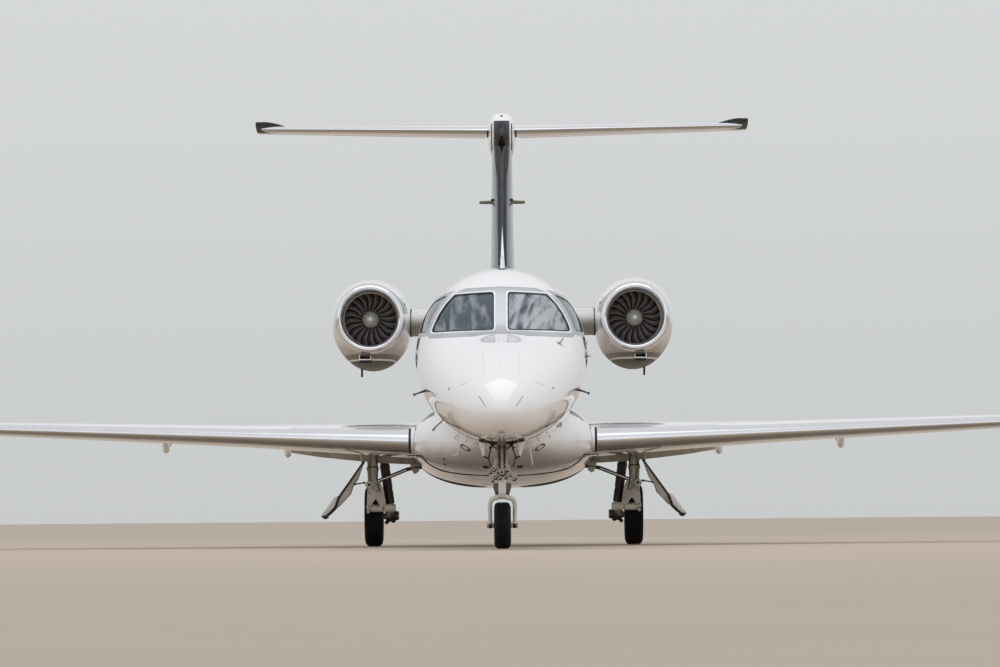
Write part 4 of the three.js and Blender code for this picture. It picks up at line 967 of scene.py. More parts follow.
def shell(start, end, outer, inner, **fine):
    """A thin layer of the fuselage's skin: outer and inner are its depths under the skin."""
    return carve(fuselage(start, end, outer, **fine), fuselage(start - 20, end + 20, inner, **fine))


def cut_room(start, end, low, inset, finish):
    """The room inside a stretch of fuselage, lined with a finish."""
    room = fuselage(start, end, inset)
    if low:
        room = carve(room, ("in", block((-1000, 1000), (start - 20, end + 20), (low, 3000))))
    return clad(room, finish)


def skin_level(x, station, z, belly):
    """1 on the skin and less inside it, with the section's power and the height of its widest line."""
    if belly:
        half, bottom, widest, top = smooth_columns(BELLY, [station])[0]
        upper, lower = 2, 2.5
    else:
        top, widest, bottom, half, upper = smooth_columns(FUSELAGE, [station], root)[0]
        lower = 2
    power, height = (upper, top - widest) if z > widest else (lower, widest - bottom)
    return (abs(x) / half) ** power + (abs(z - widest) / height) ** power, power, widest


def skin_point(station, x, z, belly=False):
    """The point of the skin out from a place on a section, and its normal."""
    level, power, widest = skin_level(x, station, z, belly)
    out = level ** (-1 / power)
    point = np.array([x * out, station, widest + (z - widest) * out])
    steps = np.eye(3) * 2
    slope = [skin_level(*(point + s), belly)[0] - skin_level(*(point - s), belly)[0] for s in steps]
    return point, np.array(slope) / np.linalg.norm(slope)


def on_skin(x, z, belly=False):
    """The point of the skin that the view from ahead meets at a place across and up, and its normal."""
    low, high = (5205.0, 9000.0) if belly else (5.0, 3800.0)
    for _ in range(40):
        middle = (low + high) / 2
        low, high = (low, middle) if skin_level(x, middle, z, belly)[0] < 1 else (middle, high)
    return skin_point(high, x, z, belly)


def disc(at, normal, radius, height, sides=14):
    """A flat round head that stands on a surface."""
    at, normal = np.asarray(at, float), np.asarray(normal, float)
    return sweep([at - normal * 1.5, at + normal * height * 0.6, at + normal * height],
                 [radius, radius, radius * 0.7], sides)


SIDES = {"port": 1, "starboard": -1}
SCREENS = {1: WINDSCREEN, -1: flipped(WINDSCREEN)}
THROUGH = (200, 1100)


def front_hole(screen, by, corner, depth=(1500, 3100)):
    """A form along the view through a windscreen half, grown by a distance."""
    return prism(rounded(grown(screen, by), corner), "xz", *depth)


def side_hole(side, by, corner, reach=(300, 1000)):
    """A form across the jet through a cockpit side window, grown by a distance."""
    return through_side(rounded(grown(SIDE_WINDOW, by), corner), side, reach)


def cabin_window(i, by):
    w = CABIN_WINDOW
    y = w["first"] + i * w["pitch"]
    return clipped(y - w["width"] / 2 + by, y + w["width"] / 2 - by,
                   w["z"] - w["height"] / 2 + by, w["z"] + w["height"] / 2 - by, max(20, 118 - by))


def cabin_holes(side, by=0.0, reach=(300, 1000)):
    """Forms through a side's cabin windows, drawn in by a distance. The entry door takes the place of one."""
    numbers = range(1 if side > 0 else 0, CABIN_WINDOW["count"])
    return gather([through_side(cabin_window(i, by), side, reach) for i in numbers])


def door_lugs(hinge):
    """The fixed lugs and pins of a door's hinges."""
    x, z, foot = hinge["x"], hinge["z"], hinge["foot"][0]
    lug = ((x + 7, z + 7), (x + 7, z - 7), (foot, z - 18), (foot, z + 4))
    forms = Forms()
    for y in hinge["stations"]:
        forms.add("gear_casting", prism(lug, "xz", y - 24, y - 10), rod((x, y - 24, z), (x, y + 12, z), 5))
    return forms


def door_arms(hinge):
    """The arms that turn on a door's pins."""
    x, z, foot = hinge["x"], hinge["z"], hinge["foot"][1]
    arm = ((x + 5.8, z + 3), (x + 9, z), (foot, z + 58), (foot - 18, z + 58), (x - 4, z + 7))
    forms = Forms()
    for y in hinge["stations"]:
        forms.add("gear_casting", lathe(((5.6, -9), (10, -9), (10, 12), (5.6, 12)), "y", (x, y, z), 24),
                  prism(arm, "xz", y - 9, y + 12))
    return forms


class JET_OT_fuselage(bpy.types.Operator):
    """The skins of the nose, cockpit, cabin and tail cone, cut for their windows and doors"""

    bl_idname = "jet.fuselage"
    bl_label = "Fuselage"

    def execute(self, context):
        finished(fuselage(0, RADOME_AFT), "nose_skin", "plain_paint", "nose_cone")

        half, front, back, top = (NOSE_BAY[key] for key in ("half", "front", "back", "top"))
        cockpit = clad(fuselage(RADOME_AFT + 2, COCKPIT_AFT), "fuselage_paint")
        carve(cockpit, cut_room(2000, COCKPIT_AFT + 10, FLOOR_UNDER, WALL, "panel_black"),
              clad(block((-half, half), (front, back), (900, top)), "bay_primer"),
              *(front_hole(screen, 0, 34) for screen in SCREENS.values()),
              *(side_hole(side, 0, 40) for side in SCREENS))
        finished(cockpit, "cockpit_skin", replaces="forward_fuselage")

        cabin = clad(fuselage(COCKPIT_AFT + 2, CABIN_AFT), "fuselage_paint")
        carve(cabin, cut_room(COCKPIT_AFT - 10, CABIN_AFT + 10, 0, WALL, "cabin_trim"),
              *(cabin_holes(side) for side in SCREENS),
              through_side(door_outline(ENTRY_DOOR, 0), 1))
        finished([cabin, *door_lugs(ENTRY_HINGE)], "cabin_skin", replaces="cabin_fuselage")

        tail = clad(fuselage(CABIN_AFT + 2, TAIL_END), "fuselage_paint")
        carve(tail, cut_room(9680, 12900, 0, 60, "bay_primer"),
              through_side(door_outline(BAGGAGE_DOOR, 0), 1))
        outlet = clad(lathe(((0, -40), (52, -40), (60, 30), (52, 42), (46, 30), (0, 20)), "y",
                            (0, TAIL_END, 2318), 40), "hot_metal")
        finished([tail, outlet, *door_lugs(BAGGAGE_HINGE)], "tail_skin", replaces="aft_fuselage")

        ventral = soften(prism(rounded(VENTRAL, 60), "yz", -24, 24), 12, 4)
        finished(ventral, "ventral_fin_skin", "plain_paint", "ventral_fin")
        return {"FINISHED"}


class JET_OT_doors(bpy.types.Operator):
    """The entry door with its stairs, and the baggage door, on their hinges"""

    bl_idname = "jet.doors"
    bl_label = "Doors"

    def execute(self, context):
        def swing(hinge):
            x, z = hinge["x"], hinge["z"]
            return rod((x, 3000, z), (x, 12000, z), hinge["reach"], sides=240)

        lowered = {**ENTRY_DOOR, "top": ENTRY_DOOR["top"] - 8}
        panel = clad(fuselage(3900, 4760, sides=160), "plain_paint")
        carve(panel, cut_room(3880, 4780, 0, WALL, "cabin_trim"),
              ("in", through_side(door_outline(lowered, SLOT), 1)), ("in", swing(ENTRY_HINGE)))
        forms = Forms([panel, *door_arms(ENTRY_HINGE)])
        for z in (1480, 1740, 2000):
            tread = carve(block((520, 830), (4060, 4600), (z, z + 33)), ("in", fuselage(3900, 4760, 24)))
            forms.add("cabin_trim", soften(tread, 5))
            forms.add("seal", soften(block((526, 560), (4080, 4580), (z + 33, z + 35)), 1))
        forms.add("bare_steel", soften(block((862, 868), (4290, 4400), (2050, 2090)), 2))
        finished(forms, "entry_door_skin", replaces="entry_door", body="entry_door_body")

        hatch = clad(fuselage(9800, 10700, sides=160), "plain_paint")
        carve(hatch, cut_room(9780, 10720, 0, 60, "bay_primer"),
              ("in", through_side(door_outline(BAGGAGE_DOOR, SLOT), 1)), ("in", swing(BAGGAGE_HINGE)))
        finished([hatch, *door_arms(BAGGAGE_HINGE)], "baggage_door_skin", replaces="baggage_door",
                 body="baggage_door_body")
        return {"FINISHED"}


class JET_OT_windows(bpy.types.Operator):
    """The windscreen, the side and cabin windows, their metal frames, fasteners and seals"""

    bl_idname = "jet.windows"
    bl_label = "Windows"

    # Millimetres between the fasteners round the windscreen
    PITCH = 46

    def execute(self, context):
        fine = {"sides": 160, "step": 60}
        # The metal frame: a mask across the front, and a band round each side window
        edge = ((735, 2052), (705, 2300), (560, 2500), (380, 2556))
        mask = rounded([(0, 2062), *edge, (0, 2570), *reversed(flipped(edge))], 60)
        front = carve(prism(mask, "xz", 1700, 2760), *(("join", side_hole(side, 52, 60)) for side in SCREENS))
        frame_skin = carve(shell(1780, 3700, -2.0, 4.0, **fine), ("in", front),
                           *(front_hole(screen, 5, 38) for screen in SCREENS.values()),
                           *(side_hole(side, 5, 44) for side in SCREENS))
        finished(frame_skin, "windscreen_frame", "window_frame")
        heads = [head for screen in SCREENS.values() for by in (20, 42)
                 for head in self.row(rounded(grown(screen, by), 40))]
        finished(heads, "windscreen_fasteners", "bare_steel")

        for name, side in SIDES.items():
            screen = SCREENS[side]
            pane = carve(shell(1780, 3100, 3.0, 9.0, **fine),
                         ("in", front_hole(screen, -4, 32, (1500, 3090))))
            glass = "port_windscreen_glass" if side > 0 else "windscreen_glass"
            finished(pane, f"windscreen_pane_{name}", glass, f"windscreen_{name}")
            rings = Forms()
            for out, to, height, finish in ((6, -6, 3.2, "seal"), (20, 6, 2.8, "plain_paint")):
                rings.add(finish, carve(shell(1780, 3100, -height, 12.0, **fine),
                                        ("in", front_hole(screen, out, 38, (1500, 3090))),
                                        front_hole(screen, to, 32, (1400, 3200))))
            finished(rings, f"windscreen_seal_{name}")
            pane = carve(shell(2400, 3700, 3.0, 9.0, **fine), ("in", side_hole(side, -4, 38)))
            finished(pane, f"side_pane_{name}", "windscreen_glass", f"cockpit_side_window_{name}")
            seal = carve(shell(2400, 3700, -0.5, 12.0, **fine), ("in", side_hole(side, 5, 44)),
                         side_hole(side, -6, 36, THROUGH))
            finished(seal, f"side_seal_{name}", "seal")

            panes = [carve(shell(4300, 9300, *depths, step=400), ("in", cabin_holes(side, 2)))
                     for depths in ((6, 14), (52, 58))]
            finished(panes, f"cabin_panes_{name}", "cabin_glass", f"cabin_windows_{name}")
            rims = carve(shell(4300, 9300, -1.2, 10, step=400), ("in", cabin_holes(side, -16)),
                         cabin_holes(side, 3, THROUGH))
            finished(rims, f"cabin_window_rims_{name}", "window_frame")
        return {"FINISHED"}

    def row(self, outline):
        """Fastener heads along an outline, on the skin."""
        p = np.asarray(outline + outline[:1], float)
        travel = np.concatenate([[0], np.cumsum(np.linalg.norm(np.diff(p, axis=0), axis=1))])
        heads = []
        for t in np.linspace(0, travel[-1], round(travel[-1] / self.PITCH), endpoint=False):
            point, normal = on_skin(np.interp(t, travel, p[:, 0]), np.interp(t, travel, p[:, 1]))
            heads.append(disc(point + normal * 2, normal, sizes().rivet, 1.0, 8))
        return heads


class JET_OT_belly(bpy.types.Operator):
    """The belly fairing with its wheel wells, lights and vents"""

    bl_idname = "jet.belly"
    bl_label = "Belly"

    def execute(self, context):
        belly = clad(belly_form(), "belly_paint")
        space = wing_form(SEAM)
        cuts = Forms([fuselage(4000, 12000, -0.5, step=250), space, mirrored(space)])
        for side in (1, -1):
            cuts.add("bay_primer", rod((540 * side, 8560, 400), (540 * side, 8560, 930), 365, sides=72),
                     block(sorted((540 * side, 1010 * side)), (8170, 8410), (400, 1065)))
        carve(belly, *cuts)
        finished(belly, "belly_skin", replaces="belly_fairing")

        fittings = Forms()
        joint = [(150, 6905), (404, 6905), (600, 6900), (700, 6800), (770, 6600), (815, 6440), (840, 6330)]
        for side in (1, -1):
            # The wing's front joint: across the fairing, then out along the glove
            line = []
            for x, s in joint:
                half, bottom, widest, _ = smooth_columns(BELLY, [s])[0]
                line.append((x * side, s, widest - (widest - bottom) * (1 - (x / half) ** 2.5) ** 0.4))
            line += [(870 * side, 6330, 957), (1004 * side, 6640, 962)]
            fittings.add("seal", sweep(arc_path(line, 4), 7, 10))
            at, _ = on_skin(177 * side, 827, True)
            mouth = prism(((at[0] - 34, at[2] - 10), (at[0] + 34, at[2] - 10), (at[0], at[2] + 16)), "xz",
                          at[1] - 50, at[1] + 40)
            turns = [(math.cos(a), math.sin(a)) for a in np.linspace(0, 2 * math.pi, 17)]
            vent = [on_skin(side * (385 + 44 * c - 10 * s), 1025 + 28 * c + 14 * s, True)[0]
                    for c, s in turns]
            fittings.add("seal", mouth, sweep(vent, [4 + 5 * abs(c) for c, _ in turns], 8))
            # Lamps on both sides, and drain holes on the starboard side alone
            spots = [(485, 1135, 15, 4, "lens_clear"), (372, 1090, 14, 4, "lens_clear")]
            if side < 0:
                spots = [(610, 919, 10, 12, "seal"), (606, 868, 11, 12, "seal"), *spots]
            for x, z, radius, height, finish in spots:
                fittings.add(finish, disc(*on_skin(x * side, z, True), radius, height))
        beacon = ((0, -26), (26, -22), (44, 0), (46, 20), (0, 20))
        fittings.add("lens_red", lathe(beacon, "z", (0, 7900, 690), 40))
        hook = ((-454, 4500, 1152), (-454, 4500, 950), (-460, 4500, 944), (-505, 4500, 944))
        fittings.add("plain_paint", sweep(hook, 6, 12), sweep(((268, 4500, 1064), (304, 4500, 835)), 6, 12))
        finished(fittings, "belly_fittings")
        return {"FINISHED"}


def split_at_hinge(surface, a, b, region, cutout, past, pinned):
    """Splits a surface at a hinge into the moving and the fixed piece, as the frame does."""
    (pa, ha), (pb, hb) = a, b
    way = (pb - pa) / np.linalg.norm(pb - pa)
    nose = rod(pa, pb, ha * 0.97, hb * 0.97, 48)
    hollow = rod(pa - way * past, pb + way * past, ha + SLOT, hb + SLOT + 1, 48)
    ends = [end for end, wanted in zip(((pa, -way), (pb, way)), pinned) if wanted]
    holes = [rod(p - out * 50, p + out * 78, 9.6, sides=24) for p, out in ends]
    fixed = duplicate(surface)
    moving = carve(surface, ("in", region), ("join", nose), *holes)
    carve(fixed, cutout, hollow)
    pins = [clad(rod(p - out * 45, p + out * 78, 9, sides=24), "bare_steel") for p, out in ends]
    return moving, gather([fixed, *pins])


def turn_about(obj, a, b, degrees):
    """Turns an object about the line through two points."""
    start, end = (Vector((p[0], p[1] - MID_LENGTH, p[2])) / 1000 for p in (a, b))
    spin = Matrix.Rotation(math.radians(degrees), 4, (end - start).normalized())
    obj.data.transform(Matrix.Translation(start) @ spin @ Matrix.Translation(-start))
    return obj


class JET_OT_wings(bpy.types.Operator):
    """The wings with their polished leading edges, flaps, ailerons and winglets"""

    bl_idname = "jet.wings"
    bl_label = "Wings"

    def edge_form(self, back):
        """A form ahead of the polished edge's rear line, or further back."""
        depths = dict(zip(PLANFORM_X, EDGE_DEPTH))
        line = [(7445, 8500), *((x, wing_point(x, 0)[0][1] + depths[x] + back) for x in reversed(PLANFORM_X)),
                (990, wing_point(990, 0)[0][1] + EDGE_DEPTH[0] + back), (990, 5500)]
        return prism(line, "xy", 800, 1800)

    def strip(self, start, end, share, behind=0):
        """A form from a share of the wing's chord back, between two places out along the wing."""
        stops = [start, *(row[0] for row in WING if start < row[0] < end), end]
        front = [(x, wing_point(x, share)[0][1] + behind) for x in stops]
        return prism([*front, (end, 11500), (start, 11500)], "xy", 500, 2000)

    def flap_track(self, x, a, b):
        """A hinge under the flap: the fairing on the wing with its slot and pin, and the flap's arm."""
        t = (x - a[0]) / (b[0] - a[0])
        at = a + (b - a) * t
        _, y, z = at
        sweep_angle = math.degrees(math.atan2(b[1] - a[1], b[0] - a[0]))
        start, start_half = wing_point(x, 0.45)
        end, end_half = wing_point(x, FLAP["front"])
        rows = [(start[1], 10, start[2] - start_half + 4, start[2]), (y - 170, 36, z + 15, end[2]),
                (y, 42, z - 32, end[2]), (end[1] - 12, 40, z - 22, end[2])]
        places = np.linspace(rows[0][0], rows[-1][0], 24)
        fairing = loft([super_ring(x, s, half, low, (low + high) / 2, high, 32) for s, (half, low, high)
                        in zip(places, smooth_columns(rows, places))])
        turn = (at, at + np.array([0, 0, 1]), sweep_angle)
        slot = turn_about(block((x - 20, x + 20), (y - 36, y + 400), (z - 80, end[2] - end_half + 6)), *turn)
        along = (b - a) / np.linalg.norm(b - a)
        pin = clad(rod(at - along * 34, at + along * 34, 9, sides=24), "bare_steel")
        foot = wing_point(x, 0.83)[0]
        arm = prism(((y - 24, z - 6), (y - 8, z - 24), (y + 16, z - 20), (foot[1] + 45, foot[2] - 6),
                     (foot[1] - 35, foot[2]), (y - 16, z + 20)), "yz", x - 7, x + 7)
        turn_about(arm, *turn)
        carve(arm, rod(at - along * 60, at + along * 60, 9.6, sides=24))
        carve(fairing, slot)
        return [clad(fairing, "plain_paint"), pin], clad(soften(arm, 1), "gear_casting")

    def execute(self, context):
        wing = clad(carve(wing_form(), fuselage(5000, 11500, -0.3, step=250)), "wing_paint")
        edge = carve(duplicate(wing), ("in", self.edge_form(0)))
        carve(wing, self.edge_form(1.5))

        front, gap, start, end = (FLAP[key] for key in ("front", "gap", "from", "to"))
        flap = carve(duplicate(wing), ("in", self.strip(start + gap, end - gap, front, SLOT)))
        carve(wing, self.strip(start, end, front))
        hinge = [wing_point(x, front)[0] - (0, FLAP["ahead"], FLAP["drop"]) for x in (start, end)]
        tracks = [self.flap_track(x, *hinge) for x in FLAP["arms"]]

        start, end, share = (AILERON[key] for key in ("from", "to", "hinge"))
        aileron, wing = split_at_hinge(
            wing, wing_point(start + 10, share), wing_point(end - 10, share), self.strip(start, end, share),
            self.strip(start - SLOT, end + SLOT, share, -8), 18, (1, 1))

        inner, outer, half, top = (LEG_BAY[key] for key in ("inner", "outer", "half", "top"))
        x, y, wide = (SHOCK[key] for key in ("x", "station", "pocket"))
        leg_bay = block((inner, outer), (LEG["station"] - half, LEG["station"] + half), (600, top))
        shock_bay = block((x - wide + 46, x + wide + 62), (y - wide, y + wide), (600, 1045))
        carve(wing, *Forms().add("bay_primer", leg_bay, shock_bay))
        pad_at, pad_half = wing_point(2050, 0.36)
        pad = clad(rod((*pad_at[:2], pad_at[2] - pad_half - 14), pad_at, 34, sides=32), "bare_steel")
        # The closed inner door of the gear bay, a shallow blister behind the leg
        blister = loft([[(u, 8440, low), (u, 8710, low + 8), (u, 8716, 1050), (u, 8430, 1050)]
                        for u, low in ((880, 868), (1010, 888), (1160, 896), (1330, 904), (1500, 922),
                                        (1700, 942), (2000, 976), (2300, 1024))])
        fairings = [piece for fixed, _ in tracks for piece in fixed]
        both_sides([wing, pad, clad(soften(blister, 6, 2), "gear_casting"), *fairings], "wing_skin",
                   replaces="wing_*")
        both_sides(edge, "leading_edge", "polished_edge", "wing_leading_edge_*")
        both_sides([flap, *(arm for _, arm in tracks)], "flap_skin", replaces="flap_*", body="flap_*_body")
        both_sides(aileron, "aileron_skin", replaces="aileron_*", body="aileron_*_body")

        seal = carve(wing_form(1.0),
                     ("in", block((966, 992), (5000, wing_point(980, 0)[0][1] + 230), (700, 1600))))
        both_sides(seal, "glove_seal", "seal")
        lamp = carve(wing_form(0.6), ("in", block((7560, 7690), (9800, 10075), (1200, 1700))))
        both_sides(lamp, "tip_lamp", "lens_clear")
        return {"FINISHED"}


def painted(obj, inside, finish, planes=()):
    """Gives the faces that pass a test a finish of their own, split along planes first."""
    b = bmesh.new()
    b.from_mesh(obj.data)
    for (x, y, z), normal in planes:
        at = (x / 1000, metres(y), z / 1000)
        bmesh.ops.bisect_plane(b, geom=b.verts[:] + b.edges[:] + b.faces[:], plane_co=at, plane_no=normal)
    obj.data.materials.append(finish_of(finish))
    index = len(obj.data.materials) - 1
    for face in b.faces:
        c = face.calc_center_median() * 1000
        if inside(c.x, c.y + MID_LENGTH, c.z):
            face.material_index = index
    b.to_mesh(obj.data)
    b.free()
    return obj


def bullet_form(grow=0.0):
    places = np.linspace(13160, 15350, 48)
    return loft([super_ring(0, s, half + grow, bottom - grow, (bottom + top) / 2, top + grow, 48, 2.9, 2.5)
                 for s, (half, bottom, top) in zip(places, smooth_columns(BULLET, places))])


class JET_OT_tail(bpy.types.Operator):
    """The tailplane with its elevators and bullet, and the fin with its rudder and vanes"""

    bl_idname = "jet.tail"
    bl_label = "Tail"

    def tailplane(self):
        inner, outer, hinge = ELEVATOR["from"], ELEVATOR["to"], ELEVATOR["hinge"]
        (horn, front), back = ELEVATOR["horn"], ELEVATOR["horn_gap"]

        def section(x, grow=0.0):
            row = row_at(TAILPLANE, x)
            return airfoil(row[:3], row[3], row[4], (0, 0, 1), 0, TAIL_TRIM, grow)

        def outline(start, ahead=0, gap=0):
            return [(start, tail_point(start, hinge)[0][1] - ahead),
                    (outer - gap, tail_point(outer, hinge)[0][1] - ahead),
                    (horn - gap, front), (3100, front), (3100, 16500), (start, 16500)]

        half = clad(loft([section(x) for x in np.linspace(0, 2960, 24)]), "tail_paint")
        a, b = tail_point(inner + 10, hinge), tail_point(outer - 10, hinge)
        moving, fixed = split_at_hinge(half, a, b, prism(outline(inner), "xy", 4500, 5300),
                                       prism(outline(inner - SLOT, 10, back), "xy", 4500, 5300), 18, (1, 0))
        turn_about(moving, a[0], b[0], -ELEVATOR["droop"])
        painted(moving, lambda x, y, z: x > 2545 and y < tail_point(x, hinge)[0][1] + 30, "black_boot",
                [((2545, 0, 0), (1, 0, 0))])
        painted(fixed, lambda x, y, z: y < tail_point(abs(x), 0)[0][1] + 75, "polished_edge")
        # A black strip round the root's lower half: a painted shadow of the root fairing
        root_shadow_strip = carve(loft([section(x, 4) for x in (150, 176)]),
                          ("in", block((140, 190), (13400, 14400), (4700, tail_point(160, 0.1)[0][2] - 8))))
        return gather([fixed, clad(root_shadow_strip, "seal")]), moving

    def execute(self, context):
        fixed, elevator = self.tailplane()
        both_sides(elevator, "elevator_skin", replaces="elevator_*", body="elevator_*_body")
        lens = lathe(((0, -14), (20, -12), (26, 0), (20, 20), (0, 24)), "y", (0, 13482, 5012), 32)
        forms = Forms([fixed, mirrored(fixed)]).add("bullet_paint", bullet_form()).add("black_boot", lens)
        for side in (1, -1):
            slot = block(sorted((113 * side, 124 * side)), (13300, 14300), (4500, 4935))
            forms.add("seal", carve(bullet_form(2), ("in", slot)))
        finished(forms, "tailplane_skin", replaces="tailplane")

        heights = [*np.linspace(2560, 3600, 14), *np.linspace(3600, 4760, 16)[1:]]
        rings = [airfoil((0, row[1], row[0]), row[2], row[3] / row[2], (1, 0, 0))
                 for row in (row_at(FIN, z) for z in heights)]
        dorsal = clad(soften(prism(DORSAL, "yz", -DORSAL_HALF, DORSAL_HALF), 26, 4), "plain_paint")
        wedge = ((0, 3684), (-56, 2600), (56, 2600))
        carve(dorsal, ("in", prism(wedge, "xz", 10000, 12900)))
        c, d = (fin_point(z, RUDDER["hinge"]) for z in (RUDDER["from"] + 12, RUDDER["to"] - 12))

        def outline(low, high, ahead):
            return [(fin_point(low, RUDDER["hinge"])[0][1] - ahead, low), (16000, low), (16000, high),
                    (fin_point(high, RUDDER["hinge"])[0][1] - ahead, high)]

        gap = RUDDER["gap"]
        rudder, fin = split_at_hinge(
            clad(loft(rings), "fin_paint"), c, d,
            prism(outline(RUDDER["from"], RUDDER["to"], 0), "yz", -400, 400),
            prism(outline(RUDDER["from"] - gap, RUDDER["to"] + gap, 22), "yz", -400, 400), 40, (1, 1))
        finished(rudder, "rudder_skin", replaces="rudder", body="rudder_body")
        # The vanes on the fin's sides, on their root blocks
        forms = Forms([fin, dorsal])
        at = row_at(FIN, 3997)[1] + 250
        for side in (1, -1):
            vane = [(60 * side, at), (268 * side, at + 190), (268 * side, at + 330), (60 * side, at + 420)]
            root_block = [(56 * side, 3966), (66 * side, 3956), (132 * side, 4016), (112 * side, 4028)]
            forms.add("olive", soften(prism(vane, "xy", 3983, 4010), 7, 3))
            forms.add("seal", prism(root_block, "xz", at - 40, at + 380))
        finished(forms, "fin_skin", replaces="fin")
        return {"FINISHED"}


def round_path(points, steps=8):
    """A smooth profile through points of (radius, place)."""
    return arc_path(points, steps).tolist()


class JET_OT_engines(bpy.types.Operator):
    """The nacelles with their lips, cores, pylons, scoops and drain masts"""

    bl_idname = "jet.engines"
    bl_label = "Engines"

    def execute(self, context):
        x, z = ENGINE

        def turned(profile, sides=96):
            return lathe(profile, "y", (x, 0, z), sides)

        def around(radius, angle):
            return x + radius * math.sin(angle), z + radius * math.cos(angle)

        places = np.linspace(9620, 12450, 64)
        cowl = clad(loft([super_ring(x, s, half, z - drop, z, z + rise, 96) for s, (half, rise, drop)
                          in zip(places, smooth_columns(NACELLE, places))]), "nacelle_paint")
        inlet = turned([(0, 9600), *[(r, s) for s, r in DUCT if s <= 9950], (309, 9960), (0, 9960)])
        rear = turned([(0, 9955), (309, 9955), *[(r, s) for s, r in DUCT if s > 9950], (0, 12480)])
        carve(cowl, clad(inlet, "duct_grey"), clad(rear, "engine_dark"))
        liner = turned(((308, 9958), (289, 9962), (289, 9970), (300.5, 9978), (300.5, 10120), (309, 10124)))
        nozzle = turned(((282, 12420), (284, 12452), (278, 12470), (262, 12474), (256, 12440)))
        both_sides(Forms([cowl]).add("hot_metal", liner, nozzle), "cowl", replaces="nacelle_*")

        profile = round_path([(297, 9619), (300, 9572), (313, 9526), (335, 9503), (358, 9514), (377, 9552),
                              (389.5, 9619)])
        both_sides(turned([*profile, (340, 9619)], 128), "lip", "polished_lip", "inlet_lip_*")

        core = Forms().add("hot_metal", turned([
            (0, 10108), (40, 10108), (40, 10150), (150, 10150), (192, 10175), (200, 10400), (206, 11300),
            (200, 11700), (188, 11950), (150, 12180), (96, 12400), (46, 12540), (0, 12600)]))
        # Guide vanes behind the fan, mixer lobes round the core's rear, and struts out to the duct
        for a in np.arange(36) * 2 * math.pi / 36:
            path = []
            for r, y, t in ((150, 10185, 0), (225, 10190, 0.02), (305, 10195, 0.05)):
                u, v = around(r, a + t)
                path.append((u, y, v))
            core.add("engine_dark", sweep(path, 5, 8))
        for a in np.arange(12) * 2 * math.pi / 12:
            u, v = around(178, a)
            core.add("hot_metal", lathe(((0, 0), (24, 40), (34, 160), (30, 330), (18, 420), (0, 430)), "y",
                                        (u, 11840, v), 20))
        for a in np.arange(6) * math.pi / 3 + 0.2:
            spar = airfoil((0, 10330, 0), 290, 0.07, (1, 0, 0), points=32)
            ends = [[(p[0] * math.cos(a) + u, p[1], v - p[0] * math.sin(a)) for p in spar]
                    for u, v in (around(190, a), around(300, a))]
            core.add("engine_dark", loft(ends))
        both_sides(core, "core", replaces="engine_core_*")

        p = PYLON

        def stub(inner, outer, count, grow=0.0):
            return loft([airfoil((out, p["front"], z - p["drop"]), p["chord"], p["thickness"] / p["chord"],
                                 (0, 0, 1), grow=grow) for out in np.linspace(inner, outer, count)])

        both_sides(stub(p["inner"], p["outer"], 8), "pylon_skin", "pylon_paint", "pylon_*")

        # The pylon's joint, the scoop above the band with its duct, a black block under the scoop as its
        # painted shadow, the drain mast and a clip
        at = x + 58
        scoop = clad(soften(block((at - 68, at + 68), (9700, 10080), (2058, 2120)), 9, 3), "plain_paint")
        carve(scoop, clad(block((at - 58, at + 58), (9660, 9860), (2071, 2112)), "seal"))
        under = block((at - 62, at + 62), (9760, 10060), (2030, 2058))
        mast = prism(((10690, 1990), (10790, 1990), (10802, 1898), (10750, 1895)), "yz", at + 52, at + 74)
        clip = block((1078, 1104), (9770, 9800), (2655, 2684))
        fittings = Forms().add("seal", stub(1020, 1046, 2, 5))
        fittings.append(scoop)
        both_sides(fittings.add("seal", under, soften(mast, 5, 3), clip), "cowl_fittings")
        return {"FINISHED"}


class JET_OT_fans(bpy.types.Operator):
    """The fans: curved blades on a hub with its spinner"""

    bl_idname = "jet.fans"
    bl_label = "Fans"

    def execute(self, context):
        front, hub, tip = FAN["front"], FAN["hub"], FAN["tip"]
        knots = [(hub - 6, 92, 28, 0), (150, 104, 40, 5.5), (200, 112, 49, 6), (255, 116, 57, 2),
                 (tip, 112, 62, -4)]
        for side, x in (("port", ENGINE[0]), ("starboard", -ENGINE[0])):
            nose = round_path([(0, -152), (16, -149), (34, -126), (58, -78), (76, -30), (hub, 8),
                               (hub + 5, 60)])
            spinner = lathe([*nose, (hub + 6, 118), (0, 118)], "y", (x, front, ENGINE[1]), 64)
            clad(spinner, "spinner_metal")
            painted(spinner, lambda px, py, pz: py < front - 134, "plain_paint",
                    [((0, front - 134, 0), (0, 1, 0))])
            blades = Forms()
            radii = np.linspace(hub - 6, tip, 12)
            for k in range(sizes().blades):
                rings = []
                for r, (chord, angle, lean) in zip(radii, smooth_columns(knots, radii)):
                    a, turn = math.radians(angle), math.radians(lean) + 2 * math.pi * k / sizes().blades
                    ring = []
                    for t in np.arange(16) * math.pi / 8:
                        u, v = 0.5 * math.cos(t), 0.028 * math.sin(t) + 0.035 * (1 - math.cos(t) ** 2)
                        along = chord * (u * math.cos(a) - v * math.sin(a))
                        around = turn + chord * (u * math.sin(a) + v * math.cos(a)) / r
                        ring.append((x + r * math.sin(around), front + 60 + along,
                                     ENGINE[1] + r * math.cos(around)))
                    rings.append(ring)
                blades.add("fan_titanium", loft(rings))
            finished([*blades, spinner], f"fan_blades_{side}", replaces=f"fan_{side}",
                     body=f"fan_{side}_body", angle=50)
        return {"FINISHED"}


